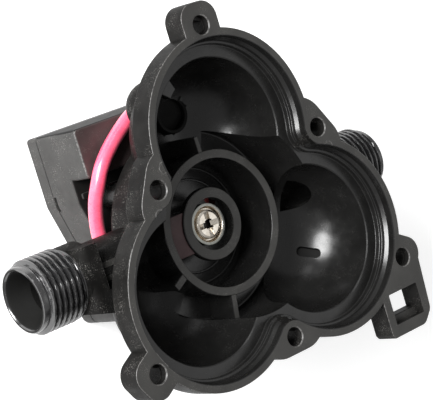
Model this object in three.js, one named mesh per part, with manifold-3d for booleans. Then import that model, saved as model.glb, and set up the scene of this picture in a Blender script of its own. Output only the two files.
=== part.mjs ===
// Three-lobed water valve housing with a pressure switch on its back and a threaded port on each side.
// Frame, in millimetres: +X along the two ports, +Y towards the single top lobe, +Z out of the open face.
// The origin is on the axis of the three lobes, on the flat back of the switch cover, where the object rests.
import * as THREE from "three";
import { mergeVertices } from "three/addons/utils/BufferGeometryUtils.js";
import Module from "manifold-3d";

const wasm = await Module();
wasm.setup();

// ---- Driving dimensions ----
const GAP = 0.3; // running and assembly clearance
const FLANGE_Z = 60; // sealing face of the flange
const FLANGE_THICK = 7.5;
const LEDGE_Z = FLANGE_Z - 6.2; // ledge round the bowls
const LOBE_DEGREES = [90, 210, 330];
const NOTCH_DEGREES = [30, 150, 270];
const LOBE_OFFSET = 25.4; // lobe centre from the middle axis
const LOBE_R = 28.7;
const POCKET_R = 26.3;
const NOTCH_BLEND_R = 5.5; // round of the flange round each notch hole, on the pocket's side
const BOWL_R = 21.3;
const BOWL_FLOOR_Z = 31;
const WALL = 2.4;
const LUG_OFFSET = 55.6; // tip screw holes
const LUG_R = 6.5;
const TAB_OFFSET = 35.1; // notch screw holes
const HOLE_R = 2.7;

const RING_OUTER_R = 21;
const RING_INNER_R = 18.4;
const RING_TOP_Z = 43.6;
const RING_FLOOR_Z = 29;
const WELL_R = 27.6; // the round well that the ring stands in
const WELL_FLOOR_Z = 33;
const RIBS = [
  // direction, outer end, thickness, and foot of each rib that stands against the ring
  { degrees: 90.5, outer: 25.6, thick: 1.5, low: BOWL_FLOOR_Z - 1 },
  { degrees: 209, outer: 25.2, thick: 2.2, low: BOWL_FLOOR_Z - 1 },
  { degrees: 260, outer: 27.8, thick: 2, low: WELL_FLOOR_Z - 1 },
];
const BOSS_R = 10.7;
const BOSS_TOP_Z = 39.2;
const BOSS_RECESS_R = 7.6;
const SCREW_TOP_Z = 37.4;
const HOUSING_BACK_Z = 26.6;
const DIAPHRAGM_ACTIVE_R = 12;

const PORT_Z = 35.8; // axis of both ports
const PORT_MOUTH_X = 66;
const PORT_BORE_R = 6;
const PORT_MOUTH_R = 7.9;
const NECK_R = 10;
const WAIST_R = 8.4; // the neck is thinner where it meets the body
const WAIST_END_X = 45;
const THREAD_R = 10.48; // half-inch parallel pipe thread, outside
const THREAD_PITCH = 1.814;
const THREAD_TURNS = 6;
const THREAD_DEPTH = 1.16;
const LEAD_IN = 2.5;

const CASE_HALF_X = 27;
const CASE_LOW_Y = -20;
const CASE_HIGH_Y = 37.5;
const CASE_BACK_Z = 5.3;
const CASE_STEP_Y = 23; // above this the case is taller
const CASE_LOW_Z = 17; // front face of the lower part
const CASE_HIGH_Z = 25; // front face of the upper part
const CASE_WALL = 2;
const CASE_WAIST_X = 24; // half width at the finger grips on its two sides
const CASE_CORNER = 1.2;
const CASE_LOW_CORNER = 4;
const COVER_THICK = 5;
const SWITCH_Y = 5; // axis of the diaphragm, plunger, and adjusting screw

const LEAD_R = 2.15;

const ROUND = 48; // sides of the lobes and the ring
const FINE = 32; // sides of other large rounds
const BOWL_SIDES = 28;
const COARSE = 20; // sides of small rounds

// ---- Helpers: three.js geometry to manifold-3d solids and back ----
function solid(geometry) {
  const bare = geometry.clone();
  bare.deleteAttribute("normal");
  bare.deleteAttribute("uv");
  const merged = mergeVertices(bare, 1e-4);
  const index = merged.index.array;
  const triangles = [];
  for (let i = 0; i < index.length; i += 3) {
    const [a, b, c] = [index[i], index[i + 1], index[i + 2]];
    if (a !== b && b !== c && c !== a) triangles.push(a, b, c);
  }
  return new wasm.Manifold(
    new wasm.Mesh({
      numProp: 3,
      vertProperties: merged.attributes.position.array,
      triVerts: new Uint32Array(triangles),
    }),
  );
}

function geometryOf(body) {
  const mesh = body.getMesh();
  const geometry = new THREE.BufferGeometry();
  const corners = new THREE.BufferAttribute(new Float32Array(mesh.vertProperties), 3);
  geometry.setAttribute("position", corners);
  geometry.setIndex(new THREE.BufferAttribute(new Uint32Array(mesh.triVerts), 1));
  return geometry;
}

const join = (bodies) => bodies.reduce((all, body) => all.add(body));
const cutAll = (body, tools) => tools.reduce((left, tool) => left.subtract(tool), body);
const radians = (degrees) => (degrees * Math.PI) / 180;

// A point at a radius and an angle round the middle axis.
function polar(radius, degrees) {
  return [radius * Math.cos(radians(degrees)), radius * Math.sin(radians(degrees))];
}

// A solid of revolution about Z: profile points are [radius, z], from the bottom of the axis to its top.
function turned(profile, x = 0, y = 0, sides = FINE) {
  const points = profile.map(([radius, z]) => new THREE.Vector2(radius, z));
  const geometry = new THREE.LatheGeometry(points, sides);
  geometry.rotateX(Math.PI / 2);
  geometry.translate(x, y, 0);
  return solid(geometry);
}

// The same, turned about a line along X: profile points are [radius, x].
function turnedAlongX(profile, y, z, sides = FINE) {
  const points = profile.map(([radius, x]) => new THREE.Vector2(radius, x));
  const geometry = new THREE.LatheGeometry(points, sides);
  geometry.rotateZ(-Math.PI / 2);
  geometry.translate(0, y, z);
  return solid(geometry);
}

function turnedAlongY(profile, x, z, sides = COARSE) {
  const points = profile.map(([radius, y]) => new THREE.Vector2(radius, y));
  const geometry = new THREE.LatheGeometry(points, sides);
  geometry.translate(x, 0, z);
  return solid(geometry);
}

const rod = (radius, low, high) => [
  [0, low],
  [radius, low],
  [radius, high],
  [0, high],
];

const post = (radius, low, high, x = 0, y = 0, sides = COARSE) =>
  turned(rod(radius, low, high), x, y, sides);

function block(lowX, highX, lowY, highY, lowZ, highZ) {
  const geometry = new THREE.BoxGeometry(highX - lowX, highY - lowY, highZ - lowZ);
  geometry.translate((lowX + highX) / 2, (lowY + highY) / 2, (lowZ + highZ) / 2);
  return solid(geometry);
}

// A flat outline, drawn in X and Y, raised from low to high; each arc gets twice as many sides as segments.
function raised(shape, low, high, segments = 6) {
  const options = { depth: high - low, bevelEnabled: false, curveSegments: segments };
  const geometry = new THREE.ExtrudeGeometry(shape, options);
  geometry.translate(0, 0, low);
  return solid(geometry);
}

function outline(points) {
  return new THREE.Shape(points.map(([x, y]) => new THREE.Vector2(x, y)));
}

// A closed outline whose corners, given as [x, y, reach], are each rounded off over that reach.
function softOutline(corners) {
  const shape = new THREE.Shape();
  corners.forEach(([x, y, reach], i) => {
    const [before, after] = [-1, 1].map((step) => {
      const [nextX, nextY] = corners[(i + step + corners.length) % corners.length];
      return new THREE.Vector2(nextX - x, nextY - y).setLength(reach).add(new THREE.Vector2(x, y));
    });
    if (i === 0) shape.moveTo(before.x, before.y);
    else shape.lineTo(before.x, before.y);
    shape.quadraticCurveTo(x, y, after.x, after.y);
  });
  return shape;
}

// A plate outline given along and across a direction that points out from the middle axis.
function radialPlate(corners, degrees, low, high) {
  const [c, s] = [Math.cos(radians(degrees)), Math.sin(radians(degrees))];
  const placed = corners.map(([out, across]) => [out * c - across * s, out * s + across * c]);
  return raised(outline(placed), low, high);
}

const parts = new THREE.Group();
const switchWorks = new THREE.Group(); // what works on the diaphragm's axis
switchWorks.position.y = SWITCH_Y;
parts.add(switchWorks);

function addPart(name, geometry, colour, roughness, metalness = 0, group = parts) {
  const material = new THREE.MeshStandardMaterial({ color: colour, roughness, metalness });
  const mesh = new THREE.Mesh(geometry, material);
  mesh.name = name;
  group.add(mesh);
}

const BLACK_NYLON = 0x2c2b29;
const NICKEL = 0xb8ae9f;
const RED_RUBBER = 0xb02230;
const BRASS = 0xb5995a;
const STEEL = 0x9a9a9c;

// ---- Housing: one moulding with flange, bowls, ring, ports, and strap bracket ----
function flange() {
  const low = FLANGE_Z - FLANGE_THICK;
  const pieces = [];
  for (const degrees of LOBE_DEGREES) {
    const [x, y] = polar(LOBE_OFFSET, degrees);
    pieces.push(post(LOBE_R, low, FLANGE_Z, x, y, ROUND));
    const [lugX, lugY] = polar(LUG_OFFSET, degrees);
    pieces.push(post(LUG_R, low, FLANGE_Z, lugX, lugY));
    const neck = [
      [40, -LUG_R - 2.5],
      [52, -LUG_R],
      [LUG_OFFSET, -LUG_R],
      [LUG_OFFSET, LUG_R],
      [52, LUG_R],
      [40, LUG_R + 2.5],
    ];
    pieces.push(radialPlate(neck, degrees, low, FLANGE_Z));
  }
  for (const degrees of NOTCH_DEGREES) {
    const tab = [
      [20, -12],
      [38.4, -9.3],
      [39.4, -5],
      [39.4, 5],
      [38.4, 9.3],
      [20, 12],
    ];
    pieces.push(radialPlate(tab, degrees, low, FLANGE_Z));
  }
  return join(pieces);
}

// Half profile of a bowl: a rounded bottom that widens to a straight rim.
function bowlProfile(radius, floorZ, rimZ, topZ) {
  const profile = [];
  const steps = 6;
  for (let i = 0; i <= steps; i += 1) {
    const angle = (i / steps) * (Math.PI / 2);
    const z = floorZ + (rimZ - floorZ) * (1 - Math.cos(angle));
    profile.push([radius * Math.sin(angle) ** 0.9, z]);
  }
  profile.push([radius, topZ]);
  profile.push([0, topZ]);
  return profile;
}

function domes() {
  return LOBE_DEGREES.map((degrees) => {
    const [x, y] = polar(LOBE_OFFSET, degrees);
    const outer = bowlProfile(BOWL_R + WALL, BOWL_FLOOR_Z - WALL, LEDGE_Z - 2, LEDGE_Z);
    return turned(outer, x, y, BOWL_SIDES);
  });
}

function bowlCuts() {
  return LOBE_DEGREES.map((degrees) => {
    const [x, y] = polar(LOBE_OFFSET, degrees);
    const inner = bowlProfile(BOWL_R, BOWL_FLOOR_Z, LEDGE_Z - 1, LEDGE_Z + 1);
    return turned(inner, x, y, BOWL_SIDES);
  });
}

// The flange's pocket: three arcs on the lobes, blended by a reverse arc round each notch hole.
function pocketCut() {
  const reach = POCKET_R + NOTCH_BLEND_R;
  const across = LOBE_OFFSET * Math.sin(radians(60));
  const blendOffset = LOBE_OFFSET / 2 + Math.sqrt(reach ** 2 - across ** 2);
  const [blendX, blendY] = polar(blendOffset, 60);
  const swing = Math.atan2(blendY, blendX - LOBE_OFFSET);
  const shape = new THREE.Shape();
  for (const degrees of [-30, 90, 210]) {
    const middle = radians(degrees);
    const [lobeX, lobeY] = polar(LOBE_OFFSET, degrees);
    const [notchX, notchY] = polar(blendOffset, degrees + 60);
    shape.absarc(lobeX, lobeY, POCKET_R, middle - swing, middle + swing);
    const turnBack = middle + swing + Math.PI;
    const turnEnd = middle + radians(120) - swing + Math.PI;
    shape.absarc(notchX, notchY, NOTCH_BLEND_R, turnBack, turnEnd, true);
  }
  return raised(shape, LEDGE_Z, FLANGE_Z + 1, 13);
}

function screwHoleCuts() {
  const low = FLANGE_Z - FLANGE_THICK - 1;
  const holes = [];
  for (const degrees of LOBE_DEGREES) holes.push(polar(LUG_OFFSET, degrees));
  for (const degrees of NOTCH_DEGREES) holes.push(polar(TAB_OFFSET, degrees));
  return holes.map(([x, y]) => post(HOLE_R, low, FLANGE_Z + 1, x, y, 16));
}

function portBody(side) {
  const profile = [];
  const threadEnd = PORT_MOUTH_X - LEAD_IN - THREAD_TURNS * THREAD_PITCH;
  profile.push([0, 24], [WAIST_R, 24], [WAIST_R, WAIST_END_X]);
  profile.push([NECK_R, WAIST_END_X], [NECK_R, threadEnd - 0.6]);
  for (let turn = 0; turn <= THREAD_TURNS; turn += 1) {
    const x = threadEnd + turn * THREAD_PITCH;
    profile.push([THREAD_R - THREAD_DEPTH, x - THREAD_PITCH * 0.3]);
    profile.push([THREAD_R, x + THREAD_PITCH * 0.2]);
  }
  const root = THREAD_R - THREAD_DEPTH;
  profile.push([root, PORT_MOUTH_X - LEAD_IN + 1], [root, PORT_MOUTH_X - 0.3]);
  profile.push([root - 0.3, PORT_MOUTH_X], [0, PORT_MOUTH_X]);
  return mirroredPort(profile, side, 22);
}

function portBore(side) {
  const profile = [
    [0, 30],
    [PORT_BORE_R, 30],
    [PORT_BORE_R, PORT_MOUTH_X - 7],
    [PORT_MOUTH_R, PORT_MOUTH_X - 1],
    [PORT_MOUTH_R, PORT_MOUTH_X + 1],
    [0, PORT_MOUTH_X + 1],
  ];
  return mirroredPort(profile, side, 24);
}

function mirroredPort(profile, side, sides) {
  if (side > 0) return turnedAlongX(profile, 0, PORT_Z, sides);
  const flipped = profile.map(([radius, x]) => [radius, -x]).reverse();
  return turnedAlongX(flipped, 0, PORT_Z, sides);
}

// The web that fills the corner between the left neck and the lobe, and the plate beside the gap above it.
function neckWeb() {
  const web = outline([
    [-50.5, -9.4],
    [-37, -13.4],
    [-37, -3.9],
    [-WAIST_END_X, -3.9],
    [-WAIST_END_X, 8.8],
    [-50.5, 8.8],
  ]);
  return raised(web, PORT_Z - 2, PORT_Z + NECK_R + 0.1);
}

// A round swelling on the back of the top lobe's dome.
function swelling() {
  const geometry = new THREE.SphereGeometry(7.7, 20, 14);
  geometry.translate(-8.5, 37.2, 39.5);
  return solid(geometry);
}

// The strap bracket that hangs from the right-hand lug, with a window and a set-back cross bar.
function strapBracket() {
  const low = FLANGE_Z - FLANGE_THICK;
  const arm = outline([
    [36.5, -49.3],
    [50.5, -49.3],
    [53.4, -46.4],
    [54.4, -29],
    [44, -24],
    [35.6, -36],
    [35.6, -48],
  ]);
  const frame = raised(arm, low, FLANGE_Z);
  const window = block(38.4, 50.2, -45.7, -36.5, low - 1, FLANGE_Z + 1);
  const slot = block(38.4, 50.2, -47.6, -45, low - 1, FLANGE_Z - 2);
  const bar = block(38, 50.6, -46.5, -43.6, low, FLANGE_Z - 3.4);
  return frame.subtract(window).subtract(slot).add(bar);
}

// The ring, the boss that holds the middle screw, and the block that joins them.
function ringAndBoss() {
  const ring = post(RING_OUTER_R, RING_FLOOR_Z - 2, RING_TOP_Z, 0, 0, ROUND).subtract(
    post(RING_INNER_R, RING_FLOOR_Z, RING_TOP_Z + 1, 0, 0, ROUND),
  );
  const boss = turned([
    [0, RING_FLOOR_Z - 1],
    [6.5, RING_FLOOR_Z - 1],
    [6.5, BOSS_TOP_Z - 3.2],
    [BOSS_R, BOSS_TOP_Z - 2.2],
    [BOSS_R, BOSS_TOP_Z],
    [0, BOSS_TOP_Z],
  ]);
  const bridge = block(-RING_INNER_R - 1, -6, -6.2, 6.2, RING_FLOOR_Z - 1, BOSS_TOP_Z - 0.6);
  const recess = post(BOSS_RECESS_R, SCREW_TOP_Z - 2.4, BOSS_TOP_Z + 1, 0, 0, FINE);
  const screwHole = post(2 + GAP, RING_FLOOR_Z - 8, BOSS_TOP_Z, 0, 0, COARSE);
  return join([ring, boss, bridge]).subtract(recess).subtract(screwHole);
}

function ribs() {
  return RIBS.map(({ degrees, outer, thick, low }) => {
    const rib = [
      [RING_INNER_R + 1.5, -thick / 2],
      [outer, -thick / 2],
      [outer, thick / 2],
      [RING_INNER_R + 1.5, thick / 2],
    ];
    return radialPlate(rib, degrees, low, RING_TOP_Z - 0.2);
  });
}

// Two feet on the back that the switch case screws to.
const CASE_SCREWS = [
  [-18, 16],
  [18, 16],
];

function backBosses() {
  return CASE_SCREWS.map(([x, y]) =>
    post(3.4, CASE_LOW_Z + GAP, 36, x, y, 16).subtract(post(1.6, CASE_LOW_Z, 28, x, y, 12)),
  );
}

function housing() {
  const neck = post(RING_OUTER_R, HOUSING_BACK_Z, LEDGE_Z - 8, 0, 0, ROUND);
  const well = post(WELL_R + WALL, WELL_FLOOR_Z - WALL, LEDGE_Z, 0, 0, ROUND);
  const outside = [neckWeb(), swelling(), strapBracket(), ...backBosses()];
  const shell = join([flange(), ...domes(), neck, well, portBody(-1), portBody(1), ...outside]);
  const hollow = cutAll(shell, [
    pocketCut(),
    ...bowlCuts(),
    post(WELL_R, WELL_FLOOR_Z, LEDGE_Z + 1, 0, 0, ROUND),
    post(RING_INNER_R, RING_FLOOR_Z, RING_TOP_Z, 0, 0, ROUND),
    portBore(-1),
    portBore(1),
  ]);
  const whole = join([hollow, ringAndBoss(), ...ribs()]);
  const roomTop = HOUSING_BACK_Z + 0.8;
  const pressureRoom = post(DIAPHRAGM_ACTIVE_R, HOUSING_BACK_Z - 1, roomTop, 0, SWITCH_Y, FINE);
  const pressureHole = post(2, HOUSING_BACK_Z - 1, RING_FLOOR_Z + 1, 9.3, SWITCH_Y, 16);
  const screwWell = post(2 + GAP, RING_FLOOR_Z - 0.5, SCREW_TOP_Z, 0, 0, COARSE);
  return cutAll(whole, [...screwHoleCuts(), pressureRoom, pressureHole, screwWell]);
}

addPart("valve_housing", geometryOf(housing()), BLACK_NYLON, 0.45);

// ---- Middle screw and its cup washer ----
function middleScrew() {
  const head = turned([
    [0, RING_FLOOR_Z + 1],
    [2, RING_FLOOR_Z + 1],
    [2, SCREW_TOP_Z - 1.6],
    [3.6, SCREW_TOP_Z - 1.6],
    [4.6, SCREW_TOP_Z - 0.9],
    [4.3, SCREW_TOP_Z - 0.2],
    [3.2, SCREW_TOP_Z],
    [0, SCREW_TOP_Z],
  ], 0, 0, 28);
  const crossA = block(-2.4, 2.4, -0.5, 0.5, SCREW_TOP_Z - 1.3, SCREW_TOP_Z + 1);
  const crossB = block(-0.5, 0.5, -2.4, 2.4, SCREW_TOP_Z - 1.3, SCREW_TOP_Z + 1);
  return head.subtract(crossA).subtract(crossB);
}

function cupWasher() {
  const low = SCREW_TOP_Z - 2.4 + GAP;
  const ring = [
    [2.4, low],
    [6.1, low],
    [6.1, SCREW_TOP_Z - 0.3],
    [5.5, SCREW_TOP_Z - 0.3],
    [5.1, low + 0.4],
    [2.4, low + 0.4],
    [2.4, low],
  ];
  return turned(ring, 0, 0, 32);
}

addPart("middle_screw", geometryOf(middleScrew()), NICKEL, 0.3, 1);
addPart("middle_screw_washer", geometryOf(cupWasher()), NICKEL, 0.3, 1);

// ---- Pressure switch: case, cover, and their screws ----
const COVER_SCREWS = [
  [-22.5, -15.5],
  [22.5, -15.5],
  [-22.5, 33],
  [22.5, 33],
];

const GLAND_LOW = { x: -24.6, y: -9, z: 20 }; // lead runs along Y
const GLAND_HIGH = { x: 3, y: 38, z: 27.6 }; // lead runs along X
const GLAND_R = 3.6;
const GLAND_LENGTH = 7;

// The outline of the case and its cover, wide at both ends and waisted between, moved in by inset.
function caseOutline(inset) {
  const half = CASE_HALF_X - inset;
  const waist = CASE_WAIST_X - inset;
  const low = CASE_LOW_Y + inset;
  const rightSide = [
    [half, low, CASE_LOW_CORNER - inset],
    [half, -13.5, 1.5],
    [waist, -8.5, 1.5],
    [waist, 4.5, 2],
    [half, 16.7, 2],
    [half, CASE_HIGH_Y - inset, CASE_CORNER],
  ];
  const leftSide = rightSide.map(([x, y, reach]) => [-x, y, reach]).reverse();
  return softOutline([...rightSide, ...leftSide]);
}

function caseShell() {
  const wall = CASE_WALL;
  const shell = raised(caseOutline(0), CASE_BACK_Z, CASE_LOW_Z, 4);
  const upperOutline = softOutline([
    [-CASE_HALF_X, CASE_STEP_Y, CASE_CORNER],
    [CASE_HALF_X, CASE_STEP_Y, CASE_CORNER],
    [CASE_HALF_X, CASE_HIGH_Y, CASE_CORNER],
    [-CASE_HALF_X, CASE_HIGH_Y, CASE_CORNER],
  ]);
  const upper = raised(upperOutline, CASE_LOW_Z - 1, CASE_HIGH_Z, 4);
  const room = raised(caseOutline(wall), CASE_BACK_Z - 1, CASE_LOW_Z - wall, 4);
  const upperRoom = block(
    -CASE_HALF_X + wall,
    CASE_HALF_X - wall,
    CASE_STEP_Y + wall,
    CASE_HIGH_Y - wall,
    CASE_BACK_Z,
    CASE_HIGH_Z - wall,
  );
  return shell.add(upper).subtract(room).subtract(upperRoom);
}

// The round chamber under the diaphragm, open to the plunger.
const CHAMBER_R = 15;
const CHAMBER_TOP_Z = HOUSING_BACK_Z - 1.6;

function chamber() {
  const wall = post(CHAMBER_R, CASE_LOW_Z - 1, CHAMBER_TOP_Z, 0, SWITCH_Y, FINE);
  const room = post(DIAPHRAGM_ACTIVE_R, CASE_LOW_Z + 2, CHAMBER_TOP_Z + 1, 0, SWITCH_Y, FINE);
  return wall.subtract(room);
}

function glands() {
  const low = GLAND_LOW;
  const high = GLAND_HIGH;
  const lowEnd = low.y - GLAND_LENGTH;
  const highEnd = high.x + GLAND_LENGTH;
  return join([
    turnedAlongY(rod(GLAND_R, lowEnd, low.y), low.x, low.z),
    block(-CASE_HALF_X, low.x + GLAND_R, lowEnd, low.y, CASE_LOW_Z - 1, low.z),
    turnedAlongX(rod(GLAND_R, high.x, highEnd), high.y, high.z, COARSE),
    block(high.x, highEnd, high.y - GLAND_R, CASE_HIGH_Y, CASE_HIGH_Z - 1, high.z),
  ]);
}

// The lead goes into each gland as far as a shoulder near its end.
function glandSockets() {
  const low = GLAND_LOW;
  const high = GLAND_HIGH;
  const r = LEAD_R + GAP;
  const shoulder = GLAND_LENGTH - 2;
  return [
    turnedAlongY(rod(r, low.y - shoulder, low.y + 1), low.x, low.z),
    turnedAlongX(rod(r, high.x - 1, high.x + shoulder), high.y, high.z, COARSE),
  ];
}

function switchCase() {
  const screwPosts = COVER_SCREWS.map(([x, y]) => post(3.2, CASE_BACK_Z, CASE_LOW_Z - 1, x, y, 16));
  const seats = CASE_SCREWS.map(([x, y]) => post(3.4, CASE_LOW_Z - 5, CASE_LOW_Z - 1, x, y, 16));
  const guide = post(5, CASE_LOW_Z - 4, CASE_LOW_Z + 1, 0, SWITCH_Y, COARSE);
  const whole = join([caseShell(), chamber(), glands(), guide, ...screwPosts, ...seats]);
  const pilotHoles = COVER_SCREWS.map(([x, y]) => post(1.2, CASE_BACK_Z - 1, CASE_LOW_Z - 3, x, y, 12));
  const throughHoles = CASE_SCREWS.map(([x, y]) => post(1.6, CASE_LOW_Z - 6, CASE_LOW_Z + 1, x, y, 12));
  const headRooms = CASE_SCREWS.map(([x, y]) => post(2.9, CASE_LOW_Z - 6, CASE_LOW_Z - 3, x, y, 16));
  const plungerHole = post(3 + GAP, CASE_LOW_Z - 6, CASE_LOW_Z + 3, 0, SWITCH_Y, COARSE);
  return cutAll(whole, [...pilotHoles, ...throughHoles, ...headRooms, plungerHole, ...glandSockets()]);
}

addPart("switch_case", geometryOf(switchCase()), BLACK_NYLON, 0.55);

function switchCover() {
  const plate = raised(caseOutline(0), 0, COVER_THICK, 4);
  const room = raised(caseOutline(CASE_WALL), 2.2, COVER_THICK + 1, 4);
  const collar = post(5.6, 1, 4.2, 0, SWITCH_Y, COARSE);
  const pads = COVER_SCREWS.map(([x, y]) => post(3.6, 1, COVER_THICK, x, y, 16));
  const whole = join([plate.subtract(room), collar, ...pads]);
  const holes = COVER_SCREWS.map(([x, y]) => post(1.6, -1, COVER_THICK + 1, x, y, 12));
  const sinks = COVER_SCREWS.map(([x, y]) => post(2.9, -1, 2.6, x, y, 16));
  return cutAll(whole, [...holes, ...sinks, post(3 + GAP, -1, 5, 0, SWITCH_Y, COARSE)]);
}

addPart("switch_cover", geometryOf(switchCover()), BLACK_NYLON, 0.55);

// A small pan-head screw; its head points down (-Z) unless it is turned over.
function panScrew(x, y, headLow, shankTop, shankR) {
  const body = turned([
    [0, headLow],
    [1.7, headLow],
    [2.5, headLow + 0.5],
    [2.5, headLow + 1.6],
    [shankR, headLow + 1.6],
    [shankR, shankTop],
    [0, shankTop],
  ], x, y, 12);
  const slotA = block(x - 1.4, x + 1.4, y - 0.3, y + 0.3, headLow - 1, headLow + 0.9);
  const slotB = block(x - 0.3, x + 0.3, y - 1.4, y + 1.4, headLow - 1, headLow + 0.9);
  return body.subtract(slotA).subtract(slotB);
}

COVER_SCREWS.forEach(([x, y], i) => {
  const screw = panScrew(x, y, 0.6, 13, 0.9);
  addPart(`cover_screw_${i + 1}`, geometryOf(screw), STEEL, 0.35, 1);
});
CASE_SCREWS.forEach(([x, y], i) => {
  const screw = panScrew(x, y, CASE_LOW_Z - 5.2, 26, 1.3);
  addPart(`case_screw_${i + 1}`, geometryOf(screw), STEEL, 0.35, 1);
});

// ---- Pressure side: rubber diaphragm, plunger, spring, seat, and adjusting screw ----
function diaphragm() {
  const low = CHAMBER_TOP_Z + GAP;
  return turned([
    [0, low + 0.2],
    [7.5, low + 0.2],
    [8.6, low],
    [CHAMBER_R - 1, low],
    [CHAMBER_R - 1, low + 1],
    [8.6, low + 1],
    [7.5, low + 1],
    [0, low + 1],
  ]);
}

addPart("pressure_diaphragm", geometryOf(diaphragm()), RED_RUBBER, 0.6, 0, switchWorks);

const FLANGE_LOW_Z = 11.4; // underside of the plunger's spring flange
const FLANGE_HIGH_Z = 12.6;

function plunger() {
  return turned([
    [0, FLANGE_LOW_Z],
    [8, FLANGE_LOW_Z],
    [8, FLANGE_HIGH_Z],
    [3, FLANGE_HIGH_Z],
    [3, 22.6],
    [7.6, 22.6],
    [8.2, 23.2],
    [8.2, CHAMBER_TOP_Z - 0.1],
    [0, CHAMBER_TOP_Z - 0.1],
  ], 0, 0, 32);
}

addPart("switch_plunger", geometryOf(plunger()), 0xd8d4c8, 0.5, 0, switchWorks);

const SEAT_LOW_Z = 4.5;
const SEAT_HIGH_Z = 5.9;

addPart("spring_seat", geometryOf(turned([
  [0, SEAT_LOW_Z],
  [5.8, SEAT_LOW_Z],
  [5.8, SEAT_HIGH_Z],
  [2.6, SEAT_HIGH_Z],
  [2.6, SEAT_HIGH_Z + 0.8],
  [0, SEAT_HIGH_Z + 0.8],
], 0, 0, 24)), BRASS, 0.35, 1, switchWorks);

// A compression spring: a round wire wound along a helix.
class Helix extends THREE.Curve {
  constructor(radius, low, high, turns) {
    super();
    Object.assign(this, { radius, low, high, turns });
  }
  getPoint(t, target = new THREE.Vector3()) {
    const angle = 2 * Math.PI * this.turns * t;
    const z = this.low + (this.high - this.low) * t;
    return target.set(this.radius * Math.cos(angle), this.radius * Math.sin(angle), z);
  }
}

// A round section swept along a curve, with flat ends.
function swept(curve, radius, sides, steps) {
  const section = outline(
    Array.from({ length: sides }, (_, i) => polar(radius, (360 * i) / sides)),
  );
  return new THREE.ExtrudeGeometry(section, { extrudePath: curve, steps, bevelEnabled: false });
}

const SPRING_WIRE_R = 0.45;
const springCurve = new Helix(4.2, SEAT_HIGH_Z + 0.1 + SPRING_WIRE_R, FLANGE_LOW_Z - 0.1 - SPRING_WIRE_R, 4);
addPart("pressure_spring", swept(springCurve, SPRING_WIRE_R, 6, 56), STEEL, 0.3, 1, switchWorks);

function adjustingScrew() {
  const body = post(3, 0.6, SEAT_LOW_Z - 0.2, 0, 0, COARSE);
  return body.subtract(post(1.4, 0, 2.4, 0, 0, 6));
}

addPart("adjusting_screw", geometryOf(adjustingScrew()), STEEL, 0.35, 1, switchWorks);

// ---- Microswitch: body, button, lever, and terminals ----
const MICRO = { lowX: -3.2, highX: 3.2, lowY: 9, highY: 22, lowZ: 5.6, highZ: 10 };
const BUTTON_Y = 13;
const TERMINAL_Y = [11, 15.5, 20];
const LEVER_Z = 10.9;
const PIVOT = { y: 20.6, z: 10.9 };

function microswitchBody() {
  const body = block(MICRO.lowX, MICRO.highX, MICRO.lowY, MICRO.highY, MICRO.lowZ, MICRO.highZ);
  const cheeks = [-1, 1].map((side) =>
    block(side > 0 ? 2.4 : -3.2, side > 0 ? 3.2 : -2.4, 19.2, MICRO.highY, MICRO.highZ - 0.5, 12),
  );
  const buttonWell = post(1 + GAP, MICRO.highZ - 1.6, MICRO.highZ + 1, 0, BUTTON_Y, 12);
  const slotTop = MICRO.lowZ + 1.2;
  const bladeSlots = TERMINAL_Y.map((y) => block(-0.7, 0.7, y - 1.9, y + 1.9, MICRO.lowZ - 1, slotTop));
  return cutAll(join([body, ...cheeks]), [buttonWell, ...bladeSlots]);
}

addPart("microswitch_body", geometryOf(microswitchBody()), 0x1d1d1f, 0.5, 0, switchWorks);
addPart(
  "microswitch_button",
  geometryOf(post(1, MICRO.highZ - 0.9, LEVER_Z - 0.4 - GAP / 2, 0, BUTTON_Y, 12)),
  0xc9c4b6,
  0.5,
  0,
  switchWorks,
);

function microswitchLever() {
  const blade = block(-1.9, 1.9, 6.2, PIVOT.y, LEVER_Z - 0.2, LEVER_Z + 0.2);
  const geometry = new THREE.CylinderGeometry(0.6, 0.6, 4.2, 12);
  geometry.rotateZ(Math.PI / 2);
  geometry.translate(0, PIVOT.y, PIVOT.z);
  return blade.add(solid(geometry));
}

addPart("microswitch_lever", geometryOf(microswitchLever()), STEEL, 0.3, 1, switchWorks);

["terminal_common", "terminal_open", "terminal_closed"].forEach((name, i) => {
  const y = TERMINAL_Y[i];
  const blade = block(-0.4, 0.4, y - 1.6, y + 1.6, 2.6, MICRO.lowZ + 0.9);
  addPart(name, geometryOf(blade), BRASS, 0.35, 1, switchWorks);
});

// ---- Red lead: from the lower gland, up past the left of the case, to the upper gland ----
const LEAD_ROUTE = [
  [-24.6, -13.4, 20],
  [-24.6, -10, 20],
  [-24.8, -7, 20.05],
  [-25.5, -2.5, 20.5],
  [-26.4, 2, 21],
  [-26.9, 6, 21.6],
  [-27, 9.4, 22.3],
  [-26.9, 13, 23.4],
  [-26.6, 16.8, 25],
  [-25.7, 20.9, 27],
  [-24, 24.6, 28],
  [-21.3, 27.8, 28.4],
  [-17.5, 30.9, 28.4],
  [-13.5, 33.5, 28.2],
  [-9.2, 35.8, 28],
  [-5, 37.3, 27.7],
  [-1, 37.9, 27.6],
  [3, 38, 27.6],
  [7.4, 38, 27.6],
];
const leadCurve = new THREE.CatmullRomCurve3(LEAD_ROUTE.map((p) => new THREE.Vector3(...p)));
addPart("red_lead", swept(leadCurve, LEAD_R, 10, 32), 0xe0304a, 0.3);

export default parts;
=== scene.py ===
"""Three-lobed water valve housing with a pressure switch behind it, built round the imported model.

Lengths are in millimetres in the shape functions and become metres when a mesh is made. The frame is the
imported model's: +X along the two ports, +Y towards the top lobe, +Z out of the open face, Z 0 where it rests.
"""

import math

import bmesh
import bpy
from mathutils import Matrix, Vector


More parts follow.
